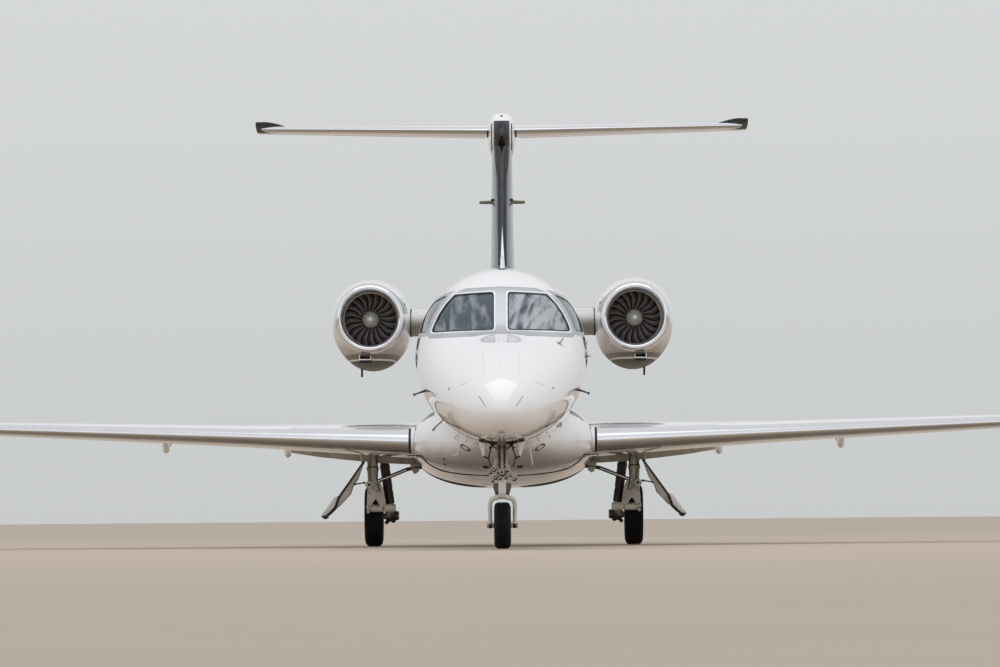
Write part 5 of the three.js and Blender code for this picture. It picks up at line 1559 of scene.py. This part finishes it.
def tyre_and_wheel(wheel, centre):
    """A grooved tyre and its bolted wheel about an x axis, port side out."""
    rim, h = wheel["rim"], wheel["width"] / 2
    outer = wheel["radius"] * TYRE_FLAT
    rise = outer - rim
    side = round_path([(rim - 3, -0.70 * h), (rim + 3, -0.80 * h), (rim + 0.2 * rise, -0.96 * h),
                       (rim + 0.45 * rise, -h), (rim + 0.75 * rise, -0.93 * h), (outer - 0.1 * h, -0.72 * h),
                       (outer - 1.5, -0.5 * h)], 5)
    tread = []
    for groove in (-0.34, 0.0, 0.34):
        at = groove * h
        tread += [(outer, at - 5), (outer - 6, at - 4), (outer - 6, at + 4), (outer, at + 5)]
    back = [(r, -a) for r, a in reversed(side)]
    tyre = clad(lathe([*side, *tread, *back], "x", centre, 128), "tyre")

    bore, seat = wheel["bore"], rim * TYRE_FLAT - SEAM
    face = [(bore, 0.50 * h), (bore * 1.7, 0.50 * h), (bore * 1.9, 0.44 * h), (seat * 0.62, 0.36 * h),
            (seat * 0.80, 0.30 * h), (seat * 0.86, 0.62 * h), (seat * 0.93, 0.72 * h), (seat, 0.80 * h),
            (seat + 5, 0.82 * h), (seat + 6, 0.78 * h), (seat, 0.74 * h)]
    hub = clad(lathe([*face, *[(r, -a) for r, a in reversed(face)]], "x", centre, 96), "wheel_paint")

    def bolt_circle(turn):
        for a in (np.arange(9) + turn) * 2 * math.pi / 9:
            yield centre[1] + seat * 0.68 * math.cos(a), centre[2] + seat * 0.68 * math.sin(a)

    holes = [rod((centre[0] - h, *at), (centre[0] + h, *at), seat * 0.095, sides=20)
             for at in bolt_circle(0.5)]
    forms = Forms([carve(hub, gather(holes))])
    for at in bolt_circle(0):
        for way in (1, -1):
            x = centre[0] + way * 0.33 * h
            forms.add("bare_steel", rod((x, *at), (x + way * 10, *at), seat * 0.05, sides=6))
    return tyre, gather(forms)


def cheek(outline, x0, x1):
    return soften(prism(outline, "yz", x0, x1), 5, 3)


def bolts_on(x0, x1, y, z, radius):
    """A bolt through two cheeks, with its head and nut."""
    spans = ((x0 - 9, x1 + 9, 0.8, 20), (x0 - 15, x0 - 2, 1.35, 6), (x1 + 2, x1 + 15, 1.35, 6))
    return Forms().add("bare_steel", *(rod((a, y, z), (b, y, z), radius * share, sides=sides)
                                       for a, b, share, sides in spans))


def hose(points, radius):
    return sweep(arc_path(points, 10), radius, 12)


class JET_OT_main_gear(bpy.types.Operator):
    """The main gear: castings, braces, links, shock struts, brakes, hoses, doors, wheels and tyres"""

    bl_idname = "jet.main_gear"
    bl_label = "Main gear"

    def leg(self, x, y):
        knee, pivot, top, reach = (LEG[key] for key in ("knee", "pivot", "top", "reach"))
        barrel = lathe([(0, top), (46, top), (58, top - 30), (58, 860), (66, 852), (66, 826), (58, 818),
                        (54, 700), (60, 684), (60, knee - 40), (0, knee - 44)], "z", (x, y, 0), 56)
        trunnion = lathe([(0, -reach), (36, -reach), (42, -reach + 8), (42, reach - 8), (36, reach),
                          (0, reach)], "y", (x, y, top), 40)
        # Below the knee: an outer cheek, and an inner one that leans in to the pivot barrel
        fork = [(1334, knee + 62), (1470, knee + 62), (1470, 600), (1479, 515), (1479, 362), (1450, 362),
                (1442, 430), (1384, 516), (1330, 432), (1276, 432), (1276, 470), (1286, 540), (1298, 618)]
        forms = Forms().add(
            "gear_casting", barrel, trunnion, soften(prism(fork, "xz", y - 40, y + 40), 5, 2),
            lathe([(0, -30), (36, -30), (43, -22), (43, 20), (0, 20)], "y", (1449, y - 64, 670), 40),
            lathe([(16, -8), (22, -8), (22, 4), (16, 4)], "y", (1449, y - 92, 670), 32))
        forms.add("seal", rod((1449, y - 97, 670), (1449, y - 90, 670), 15),
                  lathe([(55, 852), (61, 852), (61, 866), (55, 866)], "z", (x, y, 0), 56))
        # The folding brace: a near-black tube, the brace with a painted shadow on both sides of the bright
        # rod before it, and the bracket that holds them
        brace_x, brace_z = BRACE_END
        line = [(1400, 690), (1043, 832), (960, 852), (brace_x, brace_z + 6)]
        forms.add("dark_steel", sweep([(u, y - 20, v) for u, v in line], 21, 24))
        forms.add("chrome", rod((1386, y - 46, 697), (1046, y - 46, 829), 9))
        hanger = [(905, 900), (1010, 900), (1000, 838), (972, 788), (950, 784), (914, 812)]
        forms.add("gear_casting", soften(prism(hanger, "xz", y - 40, y + 110), 5, 2))
        forms.add("dark_steel", rod((brace_x, 8172, brace_z), (brace_x, 8408, brace_z), 25, sides=32))
        forms += bolts_on(x - 58, x + 58, y, pivot, 17)
        for u, v in ((1372, 596), (1452, 585), (1463, 440), (1463, 402)):
            forms.add("dark_steel", rod((u, y - 50, v), (u, y - 38, v), 9, sides=6))
        for radius, *path in (
                (6, (-34, -62, 1000), (-52, -74, 880), (-48, -70, 720), (-72, -40, 600), (-84, 60, 520),
                 (-110, 240, 440)),
                (4.5, (20, -66, 1000), (30, -78, 860), (16, -72, 720), (-10, -56, 610))):
            forms.add("hose", hose([(x + u, y + v, z) for u, v, z in path], radius))
        return forms

    def link(self, x, y, centre):
        pivot, arm_x, axle_z = LEG["pivot"], SHOCK["x"], centre[2]
        # The barrels about the pivot, the bent arm back to the axle and the two cheeks of the strut's eye
        bend = arc_path([(x, y + 10, pivot), (x - 10, y + 62, pivot - 2), (x - 70, y + 80, pivot - 6),
                         (arm_x, y + 130, pivot - 18), (arm_x, y + 260, pivot - 60),
                         (arm_x, centre[1] - 60, axle_z + 12), (arm_x, centre[1], axle_z)], 6)
        eye = rounded([(SHOCK["station"] - 44, axle_z - 20), (SHOCK["station"] + 34, axle_z - 20),
                       (SHOCK["station"] + 16, SHOCK["eye"] + 22),
                       (SHOCK["station"] - 36, SHOCK["eye"] + 22)], 22)
        forms = Forms().add(
            "gear_casting",
            lathe([(0, 1304), (28, 1304), (33, 1309), (33, 1435), (28, 1440), (0, 1440)], "x",
                  (0, y - 4, pivot - 22), 40),
            lathe([(0, 1167), (36, 1167), (43, 1174), (43, 1286), (36, 1292), (0, 1292)], "x",
                  (0, y - 4, pivot - 14), 40),
            sweep(bend, 27 + 5 * np.sin(np.linspace(0, math.pi, 37)), 28),
            cheek(eye, arm_x - 52, arm_x - 38), cheek(eye, arm_x - 34, arm_x - 20))
        forms.add("bare_steel",
                  lathe([(0, arm_x - 60), (34, arm_x - 60), (34, x + 52), (28, x + 62), (0, x + 62)], "x",
                        (0, centre[1], axle_z), 40))
        forms.add("dark_steel", rod((x + 48, centre[1], axle_z), (x + 60, centre[1], axle_z), 40, sides=6),
                  lathe([(36, -112), (44, -112), (52, -100), (52, -60), (62, -52), (70, -20), (70, 20),
                         (36, 24)], "x", (arm_x, centre[1], axle_z + 6), 60))
        # The brake's pistons, and two plugs ahead of the axle
        for a in np.arange(6) * 2 * math.pi / 6 + 0.3:
            at = (centre[1] + 38 * math.cos(a), axle_z + 6 + 38 * math.sin(a))
            forms.add("bare_steel", rod((arm_x - 122, *at), (arm_x - 108, *at), 9, sides=20))
        for u, v, r in ((1202, 282, 26), (1276, 262, 22)):
            forms.add("seal", lathe([(0, -34), (r * 0.8, -34), (r, -20), (r, 20), (0, 26)], "y",
                                    (u, centre[1] - 20, v), 28))
        return forms + bolts_on(arm_x - 52, arm_x - 20, SHOCK["station"] - 10, SHOCK["eye"], 12)

    def shock(self):
        x, y, top, eye = (SHOCK[key] for key in ("x", "station", "top", "eye"))
        foot, head = np.array((x - 27, y - 10, eye)), np.array((x + 54, y, top - 2))
        way = (head - foot) / np.linalg.norm(head - foot)
        knots = [(14, 44), (24, 51), (150, 51), (160, 47), (175, 47), (185, 52), (400, 52), (408, 56),
                 (430, 56), (438, 50), (590, 44)]
        tube = sweep([foot + way * t for t, _ in knots], [r for _, r in knots], 40)
        collar = rod(foot - way * 16, foot + way * 30, 30, sides=32)
        return Forms().add("bare_steel", collar).add("dark_steel", tube)

    def door(self, x, y):
        """The leg door's panels with their rubber edges, and the stay and brackets that hold them."""
        front, back = y - 190, y + 215
        forms = Forms()
        for outline, finish, ahead in (
                (((1512, 925), (1782, 548), (1822, 430), (1869, 382), (1940, 322), (1926, 312), (1857, 368),
                  (1806, 420), (1766, 538), (1500, 914)), "seal", 0),
                (((1784, 551), (1824, 538), (1922, 405), (1972, 338), (1950, 322), (1871, 386), (1826, 434)),
                 "plain_paint", 6),
                (((1512, 900), (1574, 730), (1622, 666), (1654, 571), (1790, 428), (1806, 428), (1766, 534)),
                 "gear_casting", -20),
                (((1892, 322), (1930, 300), (1968, 328), (1946, 344)), "seal", 8)):
            forms.add(finish, soften(prism(outline, "xz", front - ahead, back + ahead), 3, 2))
        forms.add("dark_steel",
                  sweep([(1500, y - 60, 693), (1560, y - 60, 684), (1618, y - 60, 675)], [8, 7, 8], 16))
        forms.add("seal", *(lathe([(0, -14), (11, -8), (14, 0), (11, 8), (0, 14)], "y", (u, y - 60, v), 20)
                            for u, v in ((1505, 692), (1612, 676))))
        return forms.add("gear_casting", *(sweep([(1518, at, 905), (1530, at, 950), (1560, at, 1060)],
                                                 [14, 12, 13], 20) for at in (y - 150, y + 170)))

    def execute(self, context):
        x, y = MAIN_WHEEL["x"], LEG["station"]
        centre = (x, MAIN_WHEEL["station"], MAIN_WHEEL["radius"] * TYRE_FLAT)
        both_sides(self.leg(x, y), "main_leg_castings", replaces="main_leg_*")
        both_sides(self.link(x, y, centre), "main_link_castings", replaces="main_trailing_link_*")
        both_sides(self.shock(), "main_shock_body", replaces="main_shock_strut_*")
        both_sides(self.door(x, y), "main_door_panel", replaces="main_gear_door_*")
        tyre, wheel = tyre_and_wheel(MAIN_WHEEL, centre)
        both_sides(tyre, "main_tread", replaces="main_tyre_*", body="main_wheel_*_body")
        cap = lathe([(0, 44), (46, 44), (58, 54), (58, 76), (40, 88), (0, 90)], "x", centre, 48)
        both_sides([wheel, clad(cap, "wheel_paint")], "main_rim", replaces="main_wheel_*",
                   body="main_wheel_*_body")
        return {"FINISHED"}


class JET_OT_nose_gear(bpy.types.Operator):
    """The nose gear: strut, steering, fork, wheel, tyre and doors"""

    bl_idname = "jet.nose_gear"
    bl_label = "Nose gear"

    def strut(self, y):
        top, collar = NOSE_LEG["top"], NOSE_LEG["collar"]
        wall = NOSE_BAY["half"] - 0.3
        forms = Forms().add(
            "gear_casting",
            lathe([(33, collar + 1), (50, collar + 1), (72, collar + 8), (72, collar + 52), (64, collar + 60),
                   (64, collar + 96), (72, collar + 104), (72, collar + 116), (54, collar + 124), (52, 1000),
                   (56, 1010), (56, top), (33, top)], "z", (0, y, 0), 56),
            rod((-wall, y, top - 60), (wall, y, top - 60), 30, sides=36),
            rod((-wall, y + 300, top - 40), (wall, y + 300, top - 40), 24, sides=32))
        # A pale rod as a painted highlight down the front of the shiny strut, dark blocks beside it as
        # painted shade on its sides, the braces behind it and the clutter of the steering unit
        forms.add("gear_casting",
                  lathe([(0, 783), (13, 783), (13, 976), (0, 976)], "z", (0, y - 78, 0), 24))
        for side in (1, -1):
            for a, b in (((124, 1036), (50, 969)), ((50, 1036), (124, 975))):
                forms.add("dark_steel",
                          rod((a[0] * side, y - 40, a[1]), (b[0] * side, y - 40, b[1]), 9, sides=12))
            # Dark blocks beside the pale rod: painted shade on the strut's sides
            forms.add("dark_steel", block(sorted((17 * side, 36 * side)), (y - 76, y - 50), (790, 1000)))
            loop = ((106, -44, 96), (128, -60, 190), (96, -30, 300), (60, 10, 440))
            forms.add("hose", hose([(u * side, y + v, collar + w) for u, v, w in loop], 6))
        for path, radius in ((((-58, 880), (-74, 798), (-81, 760)), 12),
                             (((30, 827), (80, 752), (118, 700)), 11)):
            forms.add("gear_casting", sweep([(u, y - 82, v) for u, v in path], radius, 16))
        knobs = ((-81, 783, 20), (-119, 754, 17), (-40, 760, 17), (0, 745, 26), (44, 770, 15), (78, 728, 18),
                 (112, 690, 19), (-70, 705, 20), (-28, 690, 14), (30, 700, 15), (-96, 668, 12))
        for k, (u, v, r) in enumerate(knobs):
            ahead = y - 92 - k % 3 * 6
            cup = [(r * 0.45, -10), (r, -10), (r, 14), (0, 14), (0, 0), (r * 0.45, 0)]
            forms.add("gear_casting", lathe(cup, "y", (u, ahead, v), 24))
            # The black disc behind each knob, set lower and wider than it, is a painted shadow
            forms.add("seal", rod((u, ahead - 8, v), (u, y - 70, v), r * 0.44, sides=12),
                      disc((u + 6, y - 72, v - 10), (0, -1, 0), r * 1.25, 2, 16))
        return forms

    def fork(self, centre, y):
        collar, axle_end = NOSE_LEG["collar"], 151
        _, axle_y, axle_z = centre
        limb = [(-118, axle_y, axle_z), (-120, axle_y - 18, 330), (-122, y + 24, 424), (-106, y + 12, 476),
                (-52, y + 4, 500)]
        arch = arc_path([*limb, (0, y, 508), *[(-u, *rest) for u, *rest in reversed(limb)]], 8)
        piston = [(0, 505), (30, 505), (32, 512), (32, collar - 0.5), (0, collar - 0.5)]
        forms = Forms().add("piston", lathe(piston, "z", (0, y, 0), 48))
        forms.add("fork_paint", sweep(arch, 19 + 5 * np.sin(math.pi * np.linspace(0, 1, len(arch))), 28))
        forms.add("gear_casting", lathe([(0, 488), (34, 488), (44, 500), (44, 526), (34, 540), (0, 540)], "z",
                                        (0, y, 0), 40))
        forms.add("bare_steel", rod((-axle_end, axle_y, axle_z), (axle_end, axle_y, axle_z), 22, sides=36))
        # The axle's rubber caps, the torque links with their pin, and two plates ahead of the wheel
        cap = [(0, -16), (24, -16), (28, -10), (28, 10), (24, 16), (0, 16)]
        forms.add("black_boot", *(lathe(cap, "x", (side * 118, axle_y, axle_z), 36) for side in (1, -1)))
        elbow = (y + 150, 615)
        for start, end in (((y + 22, 540), elbow), (elbow, (y + 30, collar - 34))):
            forms.add("gear_casting", *(sweep([(26 * side, *start), (12 * side, *end)], [11, 10], 16)
                                        for side in (1, -1)))
        forms.add("bare_steel", rod((-22, *elbow), (22, *elbow), 12, sides=24))
        for side in (1, -1):
            plate = [(34 * side, 512), (63 * side, 509), (90 * side, 605), (84 * side, 640), (38 * side, 640)]
            forms.add("olive", soften(prism(plate, "xz", y + 60, y + 74), 3, 2))
        return forms

    def execute(self, context):
        y = NOSE_LEG["station"]
        centre = (0, NOSE_WHEEL["station"], NOSE_WHEEL["radius"] * TYRE_FLAT)
        finished(self.strut(y), "nose_strut_castings", replaces="nose_strut")
        finished(self.fork(centre, y), "nose_fork_castings", replaces="nose_fork", body="nose_fork_body")
        tyre, wheel = tyre_and_wheel({**NOSE_WHEEL, "width": 164}, centre)
        finished(tyre, "nose_tread", replaces="nose_tyre", body="nose_wheel_body")
        finished(wheel, "nose_rim", replaces="nose_wheel", body="nose_wheel_body")

        outline = [(157, 1044), (231, 1062), (183, 893), (168, 893), (162, 940)]
        panel = carve(soften(prism(outline, "xz", 1300, 2420), 3), fuselage(1200, 2600, -0.3, 160))
        edge = sweep([(176, 1312, 894), (151, 1312, 880), (128, 1312, 872)], [9, 8, 10], 12)
        front = prism([(163, 1042), (222, 1054), (216, 1030), (166, 1020)], "xz", 1292, 1301)
        door = Forms().add("plain_paint", panel).add("seal", edge, front)
        both_sides(door, "nose_door_panel", replaces="nose_gear_door_*")
        return {"FINISHED"}


def slab(outline, corner, x0, x1, edge, segments=3):
    """A plate across the jet from x0 to x1, with round corners and soft edges."""
    return soften(prism(rounded(outline, corner), "yz", x0, x1), edge, segments)


def cushion_form(half, rows, corner):
    """A crowned pad: a closed form across x, through an outline of (station, height)."""
    outline = rounded(rows, corner, 6)
    middle = np.mean(outline, axis=0)
    rings = []
    for t in np.linspace(-1, 1, 25):
        draw = 1 - 0.10 * abs(t) ** 6 - 0.02 * (1 - t * t)
        rings.append([(half * t, *(middle + (np.array(p) - middle) * draw)) for p in outline])
    return loft(rings)


def padded_form(form, cap):
    """Puffs a pad up with a cloth simulation, with each point held within a cap in millimetres."""
    remesh = form.modifiers.new("voxels", "REMESH")
    remesh.mode, remesh.voxel_size = "VOXEL", 0.009
    mesh = applied(form).data
    start = np.array([v.co[:] for v in mesh.vertices])
    cloth = form.modifiers.new("cloth", "CLOTH")
    cloth.settings.use_pressure = True
    cloth.settings.uniform_pressure_force = 4
    cloth.settings.effector_weights.gravity = 0
    cloth.point_cache.frame_start, cloth.point_cache.frame_end = 1, 20
    scene = bpy.context.scene
    for frame_number in range(1, 21):
        scene.frame_set(frame_number)
    moved = form.evaluated_get(bpy.context.evaluated_depsgraph_get())
    end = np.array([v.co[:] for v in moved.data.vertices])
    form.modifiers.clear()
    scene.frame_set(1)
    travel = end - start
    far = np.linalg.norm(travel, axis=1, keepdims=True)
    held = start + travel * np.minimum(1.0, cap / 1000 / np.maximum(far, 1e-9))
    mesh.vertices.foreach_set("co", held.ravel())
    mesh.update()
    return form


def placed(form, x, y, facing):
    """A copy of a seat's piece, made at the middle of the jet, moved to its place and way round."""
    twin = duplicate(form)
    turn = Matrix.Rotation(0 if facing > 0 else math.pi, 4, "Z")
    twin.data.transform(Matrix.Translation((x / 1000, metres(y), (FLOOR_TOP + 0.5) / 1000)) @ turn)
    return twin


class JET_OT_cabin(bpy.types.Operator):
    """The seats with their padding, the instrument panel and the floor"""

    bl_idname = "jet.cabin"
    bl_label = "Cabin"

    ROWS = ((5350, -1), (6650, 1), (7450, -1), (8700, 1))

    def seat_parts(self, width):
        """Pads and frame of one seat, at the middle of the jet and facing forward."""
        half, forms = width / 2, Forms()

        def along(*points):
            return [(MID_LENGTH + u, v) for u, v in points]

        pads = gather([padded_form(cushion_form(*pad), 9.0) for pad in (
            (half - 8, along((-222, 232), (150, 226), (172, 342), (-222, 350)), 40),
            (half - 8, along((160, 340), (262, 236), (352, 640), (268, 650)), 34),
            (half - 60, along((262, 655), (356, 650), (380, 808), (302, 816)), 30))])
        arm = along((-130, 205), (235, 205), (235, 470), (-90, 450))
        top = along((-100, 446), (225, 462), (225, 474), (-98, 460))
        for x0 in (-half - 60, half):
            forms.add("cabin_trim", slab(arm, 40, x0 + 4, x0 + 56, 14))
            forms.add("leather", slab(top, 5, x0 + 2, x0 + 58, 5, 2))
        foot = along((-170, 0), (220, 0), (180, 215), (-130, 215))
        tub = along((-228, 206), (250, 200), (388, 820), (362, 822), (246, 232), (-228, 236))
        forms.add("cabin_trim", slab(foot, 30, -118, 118, 12), slab(tub, 14, -half + 4, half - 4, 6, 2))
        return pads, gather(forms)

    def execute(self, context):
        # Each set of seats: its name, node, width and leather, the seats' places, and the rails under them
        rows = [(x, y, way) for y, way in self.ROWS for x in (-395, 395)]
        crew = [(x, 3170, 1) for x in (-330, 330)]
        for name, node, width, finish, spots, (metal, spans, reach, height, edge) in (
                ("cabin", "cabin_seats", 400, "leather", rows,
                 ("bare_steel", ((-360, -300), (300, 360)), (5200, 8850), 20, 3)),
                ("crew", "cockpit_seats", 420, "crew_leather", crew,
                 ("cabin_trim", ((-420, 420),), (3222, 3258), 38, 4))):
            pads, base = self.seat_parts(width)
            cushions = [placed(pads, *spot) for spot in spots]
            finished(cushions, f"{name}_cushions", finish, node, angle=60)
            forms = Forms(placed(base, *spot) for spot in spots)
            scrap(pads)
            scrap(base)
            rise = (FLOOR_TOP + 0.5, FLOOR_TOP + height)
            forms.add(metal, *(soften(block(span, reach, rise), edge) for span in spans))
            finished(forms, f"{name}_seat_frames", replaces=node)

        room = fuselage(2010, COCKPIT_AFT, WALL + 4, 96, 120)
        board = slab([(2120, 1800), (2300, 1700), (2600, 1760), (2630, 1980), (2560, 2050), (2230, 2056)],
                     30, -900, 900, 10)
        forms = Forms().add("panel_black", carve(board, ("in", room)))
        bezel = [(2596, 1800), (2616, 1800), (2634, 1950), (2614, 1952)]
        glass = [(2617, 1812), (2620, 1812), (2637, 1942), (2634, 1942)]
        for x0, x1 in ((-560, -250), (-180, 180), (250, 560)):
            forms.add("panel_black", soften(prism(bezel, "yz", x0, x1), 4))
            forms.add("screen", prism(glass, "yz", x0 + 12, x1 - 12))
        foot = FLOOR_TOP + 1
        console = [(2480, foot), (3020, foot), (3020, 1636), (2620, 1780), (2480, 1780)]
        forms.add("panel_black", slab(console, 20, -112, 112, 8))
        for x in (-36, 36):
            forms.add("panel_black", sweep([(x, 2760, 1740), (x, 2748, 1830)], [6, 6], 12))
            forms.add("cabin_trim", soften(block((x - 22, x + 22), (2732, 2764), (1822, 1850)), 9, 3))
        finished(forms, "instrument_board", replaces="instrument_panel")

        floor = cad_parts["cabin_floor"]
        for slot in floor.material_slots:
            slot.material = finish_of("carpet")
        return {"FINISHED"}


class JET_OT_fittings(bpy.types.Operator):
    """The probes, ports, vane, strips and aerials on the nose and the roof"""

    bl_idname = "jet.fittings"
    bl_label = "Fittings"

    def line(self, side, *places):
        return [on_skin(x * side, z)[0] for x, z in places]

    def execute(self, context):
        forms = Forms()
        for side in (1, -1):
            # Pitot probes: a swept mast with a tube that points ahead
            base = skin_point(2050, 735 * side, 1540)[0]
            out = base + (112 * side, -30, -38)
            mast = [base - (8 * side, 0, -3), base + (60 * side, -8, -18), out]
            tube = [out + (0, 24, 0), out - (0, 110, 0), out - (0, 190, 0)]
            forms.add("dark_steel", sweep(mast, [14, 9, 7], 16), sweep(tube, [13, 12, 7], 20))
            # Static ports, and a strip below them
            for x, z, radius, height in ((492, 1527, 15, 1), (637, 1485, 14, 9)):
                point, normal = on_skin(x * side, z)
                forms.add("plain_paint", disc(point, normal, radius + 5, height, 24))
                forms.add("dark_steel", disc(point + normal * height, normal, radius, 0.8, 24))
            forms.add("dark_steel", sweep(self.line(side, (206, 1443), (175, 1394), (143, 1345)), 3, 8))
            # Lifted panel edges on the nose bay doors
            edge = self.line(side, (170, 1880), (172, 1790), (176, 1655), (330, 1580), (410, 1545))
            forms.add("duct_grey", sweep(arc_path(edge, 4), 1.8, 6))
        seam = self.line(1, (0, 1950), (0, 1850), (0, 1750), (0, 1650))
        # A vane on its round plate, on the port side, with a thinner dark rod below it that is a painted
        # shadow of the plate
        at = (565, 1984)
        point, normal = on_skin(*at)
        forms.add("duct_grey", sweep(seam, 1.8, 6), disc(point, normal, 22, 3, 28))
        for radius, *ends in ((5, (0, 0), (37, 50)), (3, (-30, 12), (36, -30))):
            path = [on_skin(at[0] + dx, at[1] + dz)[0] + normal * 9 for dx, dz in ends]
            forms.add("dark_steel", sweep(path, [radius, radius * 0.6], 10))
        point, mast = skin_point(3250, 850, 1898)[0], skin_point(3000, -590, 1262)[0]
        drain = [mast, mast - (50, 0, 46), mast - (84, 0, 84), mast - (90, 0, 92)]
        forms.add("dark_steel", rod(point - (6, 0, 0), point + (38, 0, 0), 5), sweep(drain, [6, 6, 9, 7], 14))
        finished(forms, "nose_fittings")

        aerials = Forms()
        for y, height, length in ((5000, 150, 190), (7400, 110, 150)):
            blade = prism(((y, 2790), (y + length, 2790), (y + length * 0.95, 2800 + height),
                           (y + length * 0.45, 2800 + height)), "yz", -7, 7)
            aerials.add("plain_paint", soften(blade, 5, 3))
        finished(aerials, "roof_aerials")
        return {"FINISHED"}


class JET_OT_stage(bpy.types.Operator):
    """The pale floor, the soft light, the plain surroundings and the camera"""

    bl_idname = "jet.stage"
    bl_label = "Stage"

    # The camera stands far ahead of the nose and close to the ground
    PLACE, LENS = (0.13, -59.62, 0.31), 200
    YAW, PITCH, ROLL = 0.148, 1.892, -0.47

    def execute(self, context):
        scene = context.scene
        bpy.ops.mesh.primitive_plane_add(size=900, location=(0, 0, -0.001))
        floor = context.object
        floor.name = "floor"
        f = Finish("floor_finish")
        point, *_ = f.place()
        pale = tuple(colours().floor)
        f.set(base_color=varied(f, point, pale, 0.04, 0.4), roughness=0.85)
        floor.data.materials.append(f.material)

        # A soft sky, brighter overhead and behind the camera, with a dark far edge there
        sky = Sky("sky")
        _, _, y, z = sky.parts("Generated")
        behind = 1.0 - y.rise(-0.5, 0.1)
        high = (0.78, 0.79, 0.81)
        stops = ((0.0, (0.585, 0.60, 0.60)), (0.08, (0.66, 0.675, 0.68)), (0.4, high), (1.0, high))
        haze = sky.node("ValToRGB", {"stops": stops}, [z])
        trees = (1.0 - abs(z - 0.008).rise(0.022, 0.04)) * behind
        sky.set(color=sky.mix(trees * 0.9, haze, (0.07, 0.08, 0.055)),
                strength=behind * (z.rise(0.02, 0.08) * (1.0 - z.rise(0.14, 0.4)) * 0.5 + 0.16) + 1.0)
        light = bpy.data.lights.new("overhead", "AREA")
        light.size, light.energy = 24, 1150
        lamp = bpy.data.objects.new("overhead", light)
        lamp.location = (0, -4, 22)
        scene.collection.objects.link(lamp)
        scene.view_settings.view_transform = "Standard"

        camera = bpy.data.cameras.new("camera")
        camera.lens, camera.sensor_width, camera.clip_end = self.LENS, 36, 2000
        obj = bpy.data.objects.new("camera", camera)
        turn = (Matrix.Rotation(math.radians(self.YAW), 4, "Z")
                @ Matrix.Rotation(math.radians(90 + self.PITCH), 4, "X")
                @ Matrix.Rotation(math.radians(self.ROLL), 4, "Z"))
        obj.matrix_world = Matrix.Translation(self.PLACE) @ turn
        scene.collection.objects.link(obj)
        scene.camera = obj
        return {"FINISHED"}


OPERATORS = (
    JET_OT_fuselage, JET_OT_doors, JET_OT_windows, JET_OT_belly, JET_OT_wings, JET_OT_tail, JET_OT_engines,
    JET_OT_fans, JET_OT_main_gear, JET_OT_nose_gear, JET_OT_cabin, JET_OT_fittings, JET_OT_stage,
)


class JET_PT_panel(bpy.types.Panel):
    """Lists the jet's pieces, sizes and colours"""

    bl_idname = "JET_PT_panel"
    bl_label = "Business jet"
    bl_space_type = "VIEW_3D"
    bl_region_type = "UI"
    bl_category = "Jet"

    def draw(self, context):
        for operator in OPERATORS:
            self.layout.operator(operator.bl_idname)
        for group in (context.scene.jet_sizes, context.scene.jet_colours):
            box = self.layout.box()
            for key in group.__annotations__:
                box.prop(group, key)


CLASSES = (JetColours, JetSizes, *OPERATORS, JET_PT_panel)


def register():
    for cls in CLASSES:
        bpy.utils.register_class(cls)
    bpy.types.Scene.jet_colours = PointerProperty(type=JetColours)
    bpy.types.Scene.jet_sizes = PointerProperty(type=JetSizes)


def unregister():
    del bpy.types.Scene.jet_colours, bpy.types.Scene.jet_sizes
    for cls in reversed(CLASSES):
        bpy.utils.unregister_class(cls)


def main():
    register()
    for operator in OPERATORS:
        getattr(bpy.ops.jet, operator.bl_idname.split(".")[1])()


if __name__ == "__main__":
    main()
